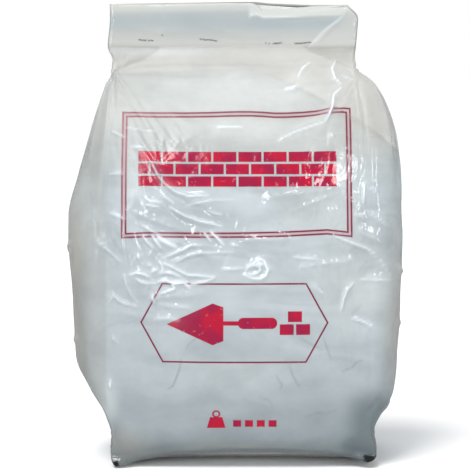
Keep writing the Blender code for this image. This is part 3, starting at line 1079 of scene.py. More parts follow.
@dataclass
class Relief:
    """How far the film and the powder depart from the bag's plain form."""

    swell: float = 0.55 * MM
    crush: float = 0.62 * MM
    fine: float = 0.10 * MM

    def soft(self, points: np.ndarray) -> np.ndarray:
        """The slow swells that the powder shares with the film, in metres."""
        x, y, z = (points[..., i] for i in range(3))
        weight = window(3 * MM, 14 * MM, 140 * MM, 152 * MM, z)
        valleys = fold_height(x, z, HOLLOWS)[0] * smooth_step(-2 * MM, -12 * MM, y)
        return valleys + self.swell * weight * (
            Crumple.swells(points, 31 * MM) + 0.5 * Crumple.swells(points + 0.4, 15 * MM)
        )

    def all_folds(self, points: np.ndarray, sleeve: Sleeve, tight: float = 1.0) -> (
        tuple[np.ndarray, np.ndarray]
    ):
        """The creases of all four sides: their lift in metres, and their crests' whiteness of stretch
        whitening and painted highlight.

        Args:
            points: The sleeve's plain form.
            sleeve: The sleeve that they lie on.
            tight: What each crease's width is multiplied by.
        """
        both = np.array(self.folds(points, sleeve, FRONT_CREASES, tight))
        side = sleeve.side_of_column()
        for which, creases, axis in (
            (Side.RIGHT, RIGHT_CREASES, 1), (Side.BACK, BACK_CREASES, 0), (Side.LEFT, LEFT_CREASES, 1),
        ):
            part = side == which.value
            there = points[:, part]
            both[:, :, part] += np.array(fold_height(there[..., axis], there[..., 2], creases, tight))
        return both[0], np.clip(both[1], 0, 1)

    def folds(self, points: np.ndarray, sleeve: Sleeve, creases: tuple[Crease, ...],
              tight: float = 1.0) -> tuple[np.ndarray, np.ndarray]:
        """A set of creases of the front: their lift in metres, and their mark: painted highlight with stretch
        whitening on ridges, darkness in cracks.

        Args:
            points: The sleeve's plain form.
            sleeve: The sleeve that they lie on.
            creases: The creases to raise.
            tight: What each crease's width is multiplied by.

        Returns:
            Two arrays with a value for each point.
        """
        x, z = points[..., 0], points[..., 2]
        both = np.zeros((2,) + x.shape)
        front = slice(0, sleeve.front_steps + sleeve.leaf_steps)
        tail = slice(sleeve.columns - sleeve.leaf_steps, sleeve.columns)
        for part in (front, tail):
            both[:, :, part] = fold_height(x[:, part], z[:, part], creases, tight)
        return tuple(both * smooth_step(0.5 * MM, 3 * MM, z))

    def slack(self, points: np.ndarray) -> np.ndarray:
        """The broad facets of slack film, in metres."""
        z = points[..., 2]
        weight = window(1.5 * MM, 8 * MM, 150 * MM, 157 * MM, z)
        calm = 0.35 + 0.65 * np.clip(0.5 + 1.5 * Crumple.swells(points + 1.7, 30 * MM), 0, 1)
        stretched = points * np.array([0.62, 1.0, 1.25])
        return self.crush * calm * weight * Crumple.facets(stretched, 17 * MM, 0.7)

    def small(self, points: np.ndarray) -> np.ndarray:
        """The small dents between the creases, in metres."""
        z = points[..., 2]
        weight = window(8 * MM, 20 * MM, 150 * MM, 157 * MM, z)
        return self.fine * weight * Crumple.facets(points + 3, 6 * MM, 0.6)


@dataclass
class Settling:
    """Lets the film settle as cloth over the powder, so that its slack buckles into creases."""

    relief: Relief
    sleeve: Sleeve = field(
        default_factory=lambda: Sleeve(front_steps=120, leaf_steps=10, back_steps=50, rows=165,
                                       crowding=0.0)
    )
    scale: float = 10.0
    gap: float = 0.3 * MM
    frames: int = 13
    growth: float = 0.014
    reach: float = 2.4 * MM

    def link(self, name: str, points: np.ndarray) -> bpy.types.Object:
        """Makes an open sleeve at the solver's scale."""
        mesh = bpy.data.meshes.new(name)
        rows, columns = points.shape[:2]
        mesh.from_pydata((points.reshape(-1, 3) * self.scale).tolist(), [],
                         [tuple(f) for f in grid_faces(rows, columns)])
        return put_in_scene(name, mesh)

    def hold(self, film: bpy.types.Object, plain: np.ndarray) -> None:
        """Pins the film at the weld and under the foot, and marks where it has slack."""
        x, y, z = (plain[..., i] for i in range(3))
        held = np.maximum(1 - smooth_step(5 * MM, 12 * MM, z), smooth_step(150 * MM, 157 * MM, z))
        group = film.vertex_groups.new(name="held")
        loose = film.vertex_groups.new(name="slack")
        slack = window(10 * MM, 40 * MM, 138 * MM, 152 * MM, z)
        slack *= 1 - 0.5 * smooth_step(26 * MM, 40 * MM, np.abs(x)) * (y < 0)
        for index, (weight, share) in enumerate(zip(held.ravel(), slack.ravel())):
            if weight > 0.01:
                group.add([index], float(weight), "REPLACE")
            loose.add([index], float(0.25 + 0.75 * share), "REPLACE")

    def set_cloth(self, film: bpy.types.Object) -> None:
        """Sets the cloth to thin, stiff film that is a little longer than what it wraps."""
        cloth = film.modifiers.new("settling", "CLOTH")
        thin = cloth.settings
        thin.quality = 6
        thin.mass = 0.05
        thin.tension_stiffness = thin.compression_stiffness = 30
        thin.shear_stiffness = 10
        thin.bending_stiffness = 0.02
        thin.air_damping = 2
        thin.vertex_group_shrink = "slack"
        thin.shrink_min, thin.shrink_max = 0.0, -self.growth
        thin.vertex_group_mass = "held"
        thin.effector_weights.gravity = 0.0
        cloth.collision_settings.collision_quality = 3
        cloth.collision_settings.distance_min = 0.002
        cloth.collision_settings.use_self_collision = False
        cloth.point_cache.frame_start = 1
        cloth.point_cache.frame_end = self.frames

    @staticmethod
    def smoothed(values: np.ndarray, spread: float = 3.2) -> np.ndarray:
        """Evens a field out around the sleeve, which takes away its upright wrinkles."""
        steps = np.arange(-9, 10)
        share = np.exp(-0.5 * (steps / spread) ** 2)
        share /= share.sum()
        return sum(w * np.roll(values, int(k), axis=1) for k, w in zip(steps, share))

    def run(self) -> np.ndarray:
        """Settles the film.

        Returns:
            How far each point of the coarse sleeve moved from the plain form, as vectors.
        """
        plain = self.sleeve.grid()
        normals = grid_normals(plain)
        soft = self.relief.soft(plain)
        ease = self.relief.all_folds(plain, self.sleeve)[0] + self.relief.slack(plain)
        film = self.link("film_cloth", plain + normals * (soft + ease + self.gap)[..., None])
        full = int(np.searchsorted(self.sleeve.heights(), POWDER_TOP.middle))
        body = self.link("powder_wall", (plain + normals * (soft - 0.1 * MM)[..., None])[:full])
        body.modifiers.new("wall", "COLLISION")
        body.collision.thickness_outer = 0.002
        body.collision.cloth_friction = 8
        self.hold(film, plain)
        self.set_cloth(film)
        scene = bpy.context.scene
        for step in range(1, self.frames + 1):
            scene.frame_set(step)
        settled = film.evaluated_get(bpy.context.evaluated_depsgraph_get()).to_mesh()
        flat = np.empty(len(settled.vertices) * 3, np.float32)
        settled.vertices.foreach_get("co", flat)
        for made in (film, body):
            mesh = made.data
            bpy.data.objects.remove(made)
            bpy.data.meshes.remove(mesh)
        scene.frame_set(1)
        moved = flat.reshape(plain.shape).astype(float) / self.scale - plain
        return self.calmed(moved, plain, normals, soft)

    def calmed(self, moved: np.ndarray, plain: np.ndarray, normals: np.ndarray, soft: np.ndarray
               ) -> np.ndarray:
        """Limits how far the settled film stands off, and calms it where it lies taut.

        Args:
            moved: How far each point moved from the plain form.
            plain: The plain form.
            normals: Its outward normals.
            soft: How far the powder under it stands out.

        Returns:
            The moves, calmed.
        """
        x, y, z = (plain[..., i] / MM for i in range(3))
        rise = (moved * normals).sum(-1)
        slid = moved - normals * rise[..., None]
        upright = smooth_step(14, 30, np.abs(x)) * (y < 0)
        even = rise + 0.85 * upright * (self.smoothed(rise) - rise)
        calm = smooth_step(32, 42, np.abs(x)) * (y < 0) * smooth_step(86, 98, z)
        even = soft + (even - soft) * (1 - 0.6 * smooth_step(112, 126, z)) * (1 - 0.5 * calm)
        reach = self.reach * (0.25 + 0.75 * smooth_step(8, 30, np.hypot(x + 47, z - 150)))
        reach *= 1 - 0.65 * smooth_step(51, 58, np.abs(x))
        capped = np.maximum(soft + reach * np.tanh((even - soft) / reach), soft)
        LOG.info("settled film stands off the powder by up to %.1f mm", (capped - soft).max() / MM)
        rise += capped - even
        taut = smooth_step(33, 41, -x) * smooth_step(-2, -12, y) * smooth_step(82, 92, z)
        rise += 0.8 * taut * (soft + 0.8 * (capped - soft) - rise)
        return slid * (1 - 0.9 * taut)[..., None] + normals * rise[..., None]


def resample(values: np.ndarray, coarse: Sleeve, fine: Sleeve) -> np.ndarray:
    """Reads a coarse sleeve's field at each point of a finer one, smoothly.

    Args:
        values: The field, as an array of rings, columns and components.
        coarse: The sleeve that it lies on.
        fine: The sleeve to read it for.
    """

    def weights(at: np.ndarray, count: int, closed: bool) -> np.ndarray:
        base = np.floor(at).astype(int)
        t = at - base
        cubic = (
            -0.5 * t + t**2 - 0.5 * t**3,
            1 - 2.5 * t**2 + 1.5 * t**3,
            0.5 * t + 2 * t**2 - 1.5 * t**3,
            -0.5 * t**2 + 0.5 * t**3,
        )
        table = np.zeros((len(at), count))
        for step, share in zip(range(-1, 3), cubic):
            index = base + step
            index = index % count if closed else np.clip(index, 0, count - 1)
            np.add.at(table, (np.arange(len(at)), index), share)
        return table

    places = []
    start = 0
    for count_fine, count_coarse in zip(fine.side_counts(), coarse.side_counts()):
        places.append(start + np.arange(count_fine) / count_fine * count_coarse)
        start += count_coarse
    across = weights(np.concatenate(places), coarse.columns, True)
    up = weights(fine.heights() / fine.top * (coarse.rows - 1), coarse.rows, False)
    return np.einsum("ij,jkc,lk->ilc", up, values, across, optimize=True)


@dataclass
class FilmBag:
    """The creased film bag: one closed skin with a flat band over its weld."""

    sleeve: Sleeve = field(default_factory=Sleeve)
    relief: Relief = field(default_factory=Relief)
    sole_rings: int = 12
    sway: float = 0.9 * MM
    surface: np.ndarray | None = None

    def creased(self, plain: np.ndarray) -> np.ndarray:
        """Adds the creases to the film's plain form."""
        normals = grid_normals(plain)
        small = self.relief.small(plain) + self.relief.folds(plain, self.sleeve, BAND_CREASES)[0]
        settling = Settling(self.relief)
        moved = resample(settling.run(), settling.sleeve, self.sleeve)
        sharp = 0.95 * self.relief.all_folds(plain, self.sleeve, tight=0.55)[0]
        return plain + moved + normals * (sharp + small)[..., None]

    def forward(self) -> np.ndarray:
        """How far each column belongs to the front: 1 on the front, 0 on the back."""
        side = self.sleeve.side_of_column()
        forward = np.zeros(self.sleeve.columns)
        forward[side == Side.FRONT.value] = 1.0
        ramp = np.linspace(1, 0, 2 * self.sleeve.leaf_steps)
        forward[side == Side.RIGHT.value] = ramp
        forward[side == Side.LEFT.value] = ramp[::-1]
        return forward

    def sway_band(self, points: np.ndarray) -> None:
        """Bends the flat band a little, and drops its front edge below its back one."""
        x, z = points[..., 0].copy(), points[..., 2].copy()
        free = smooth_step(140 * MM, 174 * MM, z)
        points[..., 1] += self.sway * free * (np.sin(x / (17 * MM) + 0.6) + 0.5 * np.sin(x / (7.5 * MM)))
        forward = self.forward()
        top = smooth_step(163 * MM, 174 * MM, z)
        rim = 0.9 * smooth_step(-47 * MM, 8 * MM, x) - 1.2 * smooth_step(8.5 * MM, 11 * MM, x)
        drop = 0.5 + 1.7 * smooth_step(6.5 * MM, 10.5 * MM, x) * (1 - smooth_step(39 * MM, 43 * MM, x))
        points[..., 2] += top * (rim - drop * forward[None, :]) * MM

    def build(self) -> bpy.types.Object:
        """Builds the mesh, its film map and its masks."""
        plain = self.sleeve.grid()
        points = self.creased(plain)
        points[0] = plain[0]
        points[..., 2] = np.maximum(points[..., 2], 0.0)
        self.sway_band(points)
        rows, columns = points.shape[:2]
        inward = np.linspace(0, 1, self.sole_rings + 1)[1:-1]
        sole = [points[0] * np.array([1 - t, 1 - t, 0]) for t in inward]
        points = FOOT_ARCH.cornered(points)
        self.surface = FOOT_ARCH.lifted(points)
        vertices = np.concatenate([points.reshape(-1, 3), *sole, np.zeros((1, 3))])
        vertices = FOOT_ARCH.lifted(vertices)
        faces = [tuple(f) for f in grid_faces(rows, columns)]
        ring_starts = [0] + [rows * columns + k * columns for k in range(len(sole))]
        for outer, inner in zip(ring_starts, ring_starts[1:]):
            for c in range(columns):
                d = (c + 1) % columns
                faces.append((outer + d, outer + c, inner + c, inner + d))
        pole = len(vertices) - 1
        last = ring_starts[-1]
        faces += [(last + (c + 1) % columns, last + c, pole) for c in range(columns)]
        mesh = bpy.data.meshes.new("creased_film")
        mesh.from_pydata(vertices.tolist(), [], faces)
        self.close_mouth(mesh)
        self.map_film(mesh, plain)
        self.mark_film(mesh, plain)
        mesh.shade_smooth()
        return put_in_scene("creased_film", mesh)

    def close_mouth(self, mesh: bpy.types.Mesh) -> None:
        """Closes the narrow slots between the layers at the mouth's edge."""
        bm = bmesh.new()
        bm.from_mesh(mesh)
        rim = [e for e in bm.edges if e.is_boundary]
        bmesh.ops.triangle_fill(bm, edges=rim, use_dissolve=False, normal=(0, 0, 1))
        bm.to_mesh(mesh)
        bm.free()

    def print_sway(self, x: np.ndarray, z: np.ndarray) -> np.ndarray:
        """How far the slack film carries its print down at each place, in millimetres."""
        top = np.interp(x, (-44, -41, -37, -32, -21, -11, -2, 6, 10, 15, 19, 25, 30, 35, 38, 43),
                        (0.1, 0.2, 0.5, 0.7, 0.9, 0.9, 0.7, 0.7, 0.9, 1.3, 1.3, 1.1, 0.7, 0.1, -0.2, -0.1))
        low = np.interp(x, (-43, -30, -13, 2, 18, 34, 40, 45), (0.4, 0.0, 0.2, 0.2, 0.0, -0.5, 0.3, 1.0))
        return top * smooth_step(116, 130, z) + low * smooth_step(104, 92, z) * smooth_step(78, 86, z)

    def map_film(self, mesh: bpy.types.Mesh, plain: np.ndarray) -> None:
        """Lays the film's own map: its place across and up, each side a metre further along."""
        count = len(mesh.loops)
        vertex = np.empty(count, np.int32)
        mesh.loops.foreach_get("vertex_index", vertex)
        flat = plain.reshape(-1, 3)
        known = np.minimum(vertex, len(flat) - 1)
        uv = flat[known][:, [0, 2]].astype(np.float32)
        starts = np.empty(len(mesh.polygons), np.int32)
        totals = np.empty(len(mesh.polygons), np.int32)
        mesh.polygons.foreach_get("loop_start", starts)
        mesh.polygons.foreach_get("loop_total", totals)
        lead = vertex[starts][np.repeat(np.arange(len(starts)), totals)]
        on_grid = (lead < len(flat)) & (vertex < len(flat))
        side = self.sleeve.side_of_column()[lead % self.sleeve.columns]
        uv[:, 1] += self.print_sway(uv[:, 0] / MM, uv[:, 1] / MM) * MM
        uv[:, 0] += np.where(on_grid, side, 7).astype(np.float32)
        mesh.uv_layers.new(name="film").data.foreach_set("uv", uv.ravel())

    def band_marks(self, x: np.ndarray, z: np.ndarray) -> dict[str, np.ndarray]:
        """The masks of the flat band over the weld: its layers, its notch, its pale strip and weld line, and
        painted highlights along the front layer's edge and the fold.
        """
        ahead = self.forward()
        low_edge = 158.0 + 0.3 * np.sin(x / 9 + 1)
        cover = smooth_step(-2.2, 1.4, z - low_edge)
        off_fold = (x - 30.2) - (z - 160) * 0.95
        fold = smooth_step(-0.2, 2.2, off_fold) * ahead
        line = 171.0 + np.where(x < 10, 0.4, 0.035) * (x - 10)
        inner = smooth_step(4.6, 6.2, x)
        strip = inner * smooth_step(-0.4, 0.5, z - line) + (1 - inner) * 0.5 * smooth_step(170.2, 172.4, z)
        blotch = 0.5 + 0.5 * np.sin(x / 6.5 + 1.2 * np.sin(z / 4)) * np.sin(z / 3.7 + x / 17)
        layers = 0.35 - 0.11 * smooth_step(165.5, 161.5, z) + 0.61 * bell(z - 167.5, 4.8)
        layers *= cover * (0.82 + 0.22 * blotch) * (1 - 0.15 * smooth_step(20, 40, -x))
        layers *= (1 - 0.5 * fold) * (1 - 0.80 * strip * (1 - fold)) * (1 - smooth_step(172.4, 173.4, z))
        seal_and_glint = 0.65 * bell(z - low_edge + 1.6, 1.5) * (1 - smooth_step(-30, 10, x))
        # Painted highlights: a bright line along the front layer's edge, and one along the fold
        edge_glint = bell(z - line - 0.2, 0.6) * inner * (1 - smooth_step(20, 32, x)) * ahead
        fold_glint = 0.7 * cover * ahead * bell(off_fold, 0.7)
        for other in (0.5 * cover * strip, 0.12 * cover * fold, fold_glint, edge_glint):
            seal_and_glint = np.maximum(seal_and_glint, other)
        return {"layers": layers, "cover": cover, "seal_and_glint": seal_and_glint}

    def painted_shade_mark(self, plain: np.ndarray) -> np.ndarray:
        """Where shade is painted into the film's colour: darker towards the floor, down both sides, along the
        hollows, in a hollow at the lower right and in patches.
        """
        x, y, z = (plain[..., i] / MM for i in range(3))
        # Painted shade that deepens towards the floor
        low = ((0.30, 14, 105), (0.16, 14, 34), (0.34, 1.5, 17), (0.05, 10, 19))
        shade = sum(share * (1 - smooth_step(full, none, z)) for share, full, none in low)
        # Painted shade down both sides, where they turn away from the light
        aside = ((0.35, 47.6, 48.8, -x), (0.5, 48, 61, -x), (0.3, 54, 62, x))
        aside = sum(share * smooth_step(none, full, at) for share, none, full, at in aside)
        shade = np.clip(shade + 0.34 * aside * (1 - smooth_step(110, 150, z)), 0, 1)
        # Painted shade along the shallow valleys
        dents = fold_height(x * MM, z * MM, HOLLOWS)[0] / (-0.5 * MM)
        shade = np.clip(shade + 0.13 * smooth_step(-2, -12, y) * dents, 0, 1)
        # Painted shadow in the hollow at the lower right, and patches of painted shade
        hollow = np.hypot((x - 52) / 15, (z - 19) / 17) + np.clip(y + 16, 0, None) / 13
        shade += 0.55 * smooth_step(1.0, 0.25, hollow) + self.forward() * patch_tone(plain, PAINTED_SHADE_PATCHES)
        # Painted shade down the lower left side
        shade += 0.62 * smooth_step(53, 61, -x) * window(24, 40, 72, 92, z)
        return np.clip(shade, 0, 1)

    def warm_tint_and_shade_mark(self, plain: np.ndarray, over: np.ndarray) -> np.ndarray:
        """How far the film's tone turns to a darker, warmer grey: down both sides, as a tint of doubled film
        with painted shade where the sides turn away, and over bare film.

        Args:
            plain: The film's plain form.
            over: How far each point lies over the powder's upper edge, in millimetres.
        """
        x, y, z = (plain[..., i] / MM for i in range(3))
        cloudy = 0.75 + 0.45 * Crumple.swells(plain + 5, 24 * MM)
        # Painted shade with a warm tint down both sides
        rims = smooth_step(54, 60.5, x) * window(18, 44, 62, 112, z)
        rims += smooth_step(54, 60.5, -x) * window(12, 36, 76, 122, z)
        sides = smooth_step(47.4, 48.8, -x) * (1 - smooth_step(120, 150, z))
        sides += 0.3 * smooth_step(50, 58, x) * window(24, 34, 50, 76, z)
        bare = smooth_step(1, 4, over) * smooth_step(40, 50, x) * (1 - smooth_step(142, 150, z))
        top = bell(x - 54.5, 5) * bell(z - 125, 4) * smooth_step(-2, -12, y)
        edge = 0.60 * cloudy * rims + 0.36 * sides + 0.30 * bare + 0.5 * top
        return np.clip(edge + self.forward() * patch_tone(plain, WARM_TINT_AND_SHADE_PATCHES), 0, 1)

    def painted_shadow_mark(self, plain: np.ndarray) -> np.ndarray:
        """Where shadow is painted on the film: at its two front corners, and in a spot at the right."""
        x, y, z = (plain[..., i] / MM for i in range(3))
        painted_shadow = 0.24 * smooth_step(-2, -12, y) * patch_tone(plain, SHADOW_PATCHES)
        for middle, half, amount in SHADOW_SPOTS:
            across, deep, up = (np.abs((at - m) / h) for at, m, h in zip((x, y, z), middle, half))
            near = across**3 + up**3 + deep**2
            painted_shadow = np.maximum(painted_shadow, np.clip((1.25 - near) * 3, 0, 1) * amount)
        return painted_shadow

    def mark_film(self, mesh: bpy.types.Mesh, plain: np.ndarray) -> None:
        """Stores where the film is layered or pressed on powder, and where shade, shadow and highlights are
        painted on it.
        """
        x, y, z = (plain[..., i] / MM for i in range(3))
        over = z - POWDER_TOP.heights(x * MM) / MM
        marks = self.band_marks(x, z)
        dusty = smooth_step(112, 132, z) * (1 - marks["cover"])
        marks |= {
            "contact": (1 - smooth_step(-1.5, 1.0, over)) * (1 - 0.70 * smooth_step(100, 128, z)),
            "dusty": np.clip(dusty + self.forward() * patch_tone(plain, DULL_PATCHES), 0, 1),
            "painted_shadow": self.painted_shadow_mark(plain),
            "shade": self.painted_shade_mark(plain),
            # Crests of painted highlight, partly stretch whitening
            "crest": self.relief.all_folds(plain, self.sleeve)[1],
            "edge": self.warm_tint_and_shade_mark(plain, over),
            "pale": np.clip(smooth_step(4, -6, y) * patch_tone(plain, PALE_AND_LIT_PATCHES), 0, 1),
            "crack": self.relief.folds(plain, self.sleeve, CRACKS)[1],
        }
        for name in MASKS:
            full = np.zeros(len(mesh.vertices), np.float32)
            full[: plain[..., 0].size] = marks[name].ravel()
            mesh.attributes.new(name, "FLOAT", "POINT").data.foreach_set("value", full)

    def dress(self, piece: bpy.types.Object, material: bpy.types.Material) -> None:
        """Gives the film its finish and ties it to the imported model."""
        piece.data.materials.append(material)
        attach(piece, "root")
        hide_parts("film_bag")


@dataclass
class Powder:
    """The powder, just inside the film, with its slope under the right shoulder."""

    relief: Relief
    inset: float = 0.45 * MM
    foot_slack: float = 3.5 * MM
    cap_rows: int = 10
    leaf_steps: int = 12

    def build(self) -> bpy.types.Object:
        """Builds the powder's mesh."""
        sleeve = Sleeve(front_steps=72, leaf_steps=self.leaf_steps, back_steps=72, rows=110)
        columns = sleeve.columns
        level = sleeve.grid(np.array([POWDER_TOP.right]))[0]
        tops = POWDER_TOP.heights(level[:, 0])
        share = np.linspace(0, 1, sleeve.rows)[:, None]
        bottom = self.inset
        heights = bottom + (tops[None, :] - bottom) * share
        outer = sleeve.grid(heights)
        z = outer[..., 2]
        relief = self.relief.soft(outer)
        foot = self.foot_slack * (1 - smooth_step(0, 15 * MM, z))
        corner = smooth_step(30 * MM, 46 * MM, np.abs(outer[..., 0]))
        inward = self.inset - relief + foot * (0.4 + 0.6 * corner)
        points = outer - grid_normals(outer) * inward[..., None]
        points[..., 2] = np.where(share > 0, points[..., 2], bottom)
        points[..., 2] = np.maximum(points[..., 2], bottom)
        points = FOOT_ARCH.lifted(points)
        vertices = [tuple(v) for v in points.reshape(-1, 3)]
        faces = [tuple(f) for f in grid_faces(sleeve.rows, columns)]
        self.add_cap(points[0], vertices, faces, 0, columns, False)
        self.add_cap(points[-1], vertices, faces, (sleeve.rows - 1) * columns, columns, True)
        mesh = bpy.data.meshes.new("settled_powder")
        mesh.from_pydata(vertices, [], faces)
        mesh.shade_smooth()
        return put_in_scene("settled_powder", mesh)

    def add_cap(self, ring: np.ndarray, vertices: list, faces: list, start: int, columns: int,
                is_top: bool) -> None:
        """Closes one end with strips that run from the front half of a ring to its back half.

        Args:
            ring: The ring's points.
            vertices: The mesh's vertices, which the cap adds to.
            faces: The mesh's faces, which the cap adds to.
            start: The ring's first vertex.
            columns: The ring's number of points.
            is_top: Whether the cap faces up.
        """
        half = columns // 2
        front = [(i - self.leaf_steps) % columns for i in range(half + 1)]
        back = [(-i - self.leaf_steps) % columns for i in range(half + 1)]
        chains = []
        for i in range(half + 1):
            a, b = front[i], back[i]
            if a == b:
                chains.append([start + a] * (self.cap_rows + 1))
                continue
            chain = [start + a]
            for step in range(1, self.cap_rows):
                t = step / self.cap_rows
                point = ring[a] * (1 - t) + ring[b] * t
                if is_top:
                    bulge = math.sin(math.pi * t) * 0.12 * abs(ring[b][1] - ring[a][1])
                    bumps = noise.noise(Vector(point) / (5 * MM)) * 0.5 * MM * math.sin(math.pi * t)
                    point = point + np.array([0, 0, bulge + bumps])
                vertices.append(tuple(point))
                chain.append(len(vertices) - 1)
            chain.append(start + b)
            chains.append(chain)
        for one, two in zip(chains, chains[1:]):
            for k in range(self.cap_rows):
                face = [one[k], two[k], two[k + 1], one[k + 1]]
                face = list(dict.fromkeys(face))
                if len(face) > 2:
                    faces.append(tuple(face if is_top else reversed(face)))

    def dress(self, piece: bpy.types.Object, material: bpy.types.Material) -> None:
        """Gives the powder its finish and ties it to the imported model."""
        piece.data.materials.append(material)
        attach(piece, "root")
        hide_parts("cement_fill")


@dataclass
class GrainScatter:
    """A tree of geometry nodes that scatters small grains over a host surface."""

    tree: bpy.types.NodeTree | None = None

    def build_tree(self) -> bpy.types.NodeTree:
        """Builds the tree: scatter points, put a grain on each, turn and size it, realize."""
        tree = bpy.data.node_groups.new("grain_scatter", "GeometryNodeTree")
        takes = {"Host": "Geometry", "Density": "Float", "Grain": "Float", "Smallest": "Float",
                 "Seed": "Int", "Finish": "Material"}
        for name, kind in takes.items():
            tree.interface.new_socket(name=name, in_out="INPUT", socket_type="NodeSocket" + kind)
        tree.interface.new_socket(name="Grains", in_out="OUTPUT", socket_type="NodeSocketGeometry")
        wires = Wires(tree)
        given = wires.node("NodeGroupInput").outputs
        seed = given["Seed"]
        points = wires.read("GeometryNodeDistributePointsOnFaces", "Points",
                            {"Mesh": given["Host"], "Density": given["Density"], "Seed": seed})
        grain = wires.read("GeometryNodeMeshIcoSphere", "Mesh", {"Radius": given["Grain"], "Subdivisions": 1})
        size = wires.read("FunctionNodeRandomValue", "Value", {
            "Min": given["Smallest"], "Max": (1.0, 1.0, 0.75), "Seed": seed}, data_type="FLOAT_VECTOR")
        turn = wires.read("FunctionNodeRandomValue", "Value", {
            "Max": (math.tau, math.tau, math.tau), "Seed": seed}, data_type="FLOAT_VECTOR")
        placed = wires.read("GeometryNodeInstanceOnPoints", 0, {
            "Points": points, "Instance": grain, "Scale": size, "Rotation": turn})
        real = wires.read("GeometryNodeRealizeInstances", 0, {0: placed})
        coat = wires.read("GeometryNodeSetMaterial", 0, {"Geometry": real, "Material": given["Finish"]})
        wires.node("NodeGroupOutput", {"Grains": coat})
        return tree

    def grow(self, name: str, host: bpy.types.Mesh, **sizes: object) -> bpy.types.Object:
        """Scatters grains over a host mesh.

        Args:
            name: The new piece's name.
            host: The surface to scatter over, which is deleted afterwards.
            sizes: Values for the tree's inputs, by name.

        Returns:
            The grains as one plain object.
        """
        self.tree = self.tree or self.build_tree()
        carrier = put_in_scene(name + "_host", host)
        modifier = carrier.modifiers.new("scatter", "NODES")
        modifier.node_group = self.tree
        for socket, value in sizes.items():
            modifier[self.tree.interface.items_tree[socket].identifier] = value
        whole = carrier.evaluated_get(bpy.context.evaluated_depsgraph_get())
        mesh = bpy.data.meshes.new_from_object(whole)
        mesh.name = name
        bpy.data.objects.remove(carrier)
        bpy.data.meshes.remove(host)
        return put_in_scene(name, mesh)


@dataclass
class WeldDust:
    """The short dark dashes of trapped dust along the weld."""

    film: FilmBag
    width: float = 0.62
    proud: float = 0.05 * MM
    dashes: tuple[tuple[float, float, float, float], ...] = (
        (-36.6, 160.5, -33.6, 160.3), (-33.0, 160.3, -31.0, 160.2), (-13.4, 160.7, -9.0, 160.5),
        (-9.4, 160.4, -6.8, 160.1), (11.4, 159.2, 11.9, 159.2), (12.9, 159.1, 13.4, 159.1),
        (14.4, 159.1, 18.0, 159.4), (22.6, 159.1, 29.0, 159.5), (-27.9, 162.2, -27.4, 162.1),
    )

    def on_film(self, x: float, z: float) -> Vector:
        """The place on the film's front that lies at x and z, in millimetres, a little proud of it."""
        front = self.film.surface[:, : self.film.sleeve.front_steps].reshape(-1, 3)
        gap = np.hypot(front[:, 0] - x * MM, front[:, 2] - z * MM)
        near = np.argsort(gap)[:4]
        weight = 1 / (gap[near] + 1e-6)
        y = float((front[near, 1] * weight).sum() / weight.sum())
        return Vector((x * MM, y - self.proud, z * MM))

    def build(self, scatter: GrainScatter, finish: bpy.types.Material) -> bpy.types.Object:
        """Builds the dashes as rows of grains on narrow strips."""
        bm = bmesh.new()
        for ax, az, bx, bz in self.dashes:
            steps = max(1, round(math.hypot(bx - ax, bz - az) / 0.6))
            rows = []
            for step in range(steps + 1):
                t = step / steps
                x, z = ax + (bx - ax) * t, az + (bz - az) * t + 0.08 * math.sin(9 * t)
                rows.append([bm.verts.new(self.on_film(x, z + up * self.width / 2)) for up in (-1, 1)])
            for one, two in zip(rows, rows[1:]):
                bm.faces.new((one[0], two[0], two[1], one[1]))
        host = bpy.data.meshes.new("weld_strips")
        bm.to_mesh(host)
        bm.free()
        return scatter.grow("weld_dust", host, Density=2.2e7, Grain=0.14 * MM, Smallest=0.4, Seed=7,
                            Finish=finish)

    def dress(self, piece: bpy.types.Object) -> None:
        """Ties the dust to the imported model."""
        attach(piece, "root")


@dataclass
class Crumbs:
    """Loose crumbs of powder along the powder's upper edge, under the empty film."""

    band: float = 5.0 * MM

    def build(self, powder: bpy.types.Object, scatter: GrainScatter, finish: bpy.types.Material
              ) -> bpy.types.Object:
        """Builds the crumbs on a copy of the powder's upper faces."""
        host = powder.data.copy()
        bm = bmesh.new()
        bm.from_mesh(host)
        kept = []
        for face in bm.faces:
            middle = face.calc_center_median()
            top = float(POWDER_TOP.heights(np.array([middle.x]))[0])
            kept.append(middle.z > top - self.band and middle.x > 5 * MM)
        away = [face for face, keep in zip(bm.faces, kept) if not keep]
        bmesh.ops.delete(bm, geom=away, context="FACES")
        bm.to_mesh(host)
        bm.free()
        return scatter.grow("powder_crumbs", host, Density=1.1e5, Grain=0.45 * MM, Smallest=0.3,
                            Seed=11, Finish=finish)

    def dress(self, piece: bpy.types.Object) -> None:
        """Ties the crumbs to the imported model."""
        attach(piece, "root")


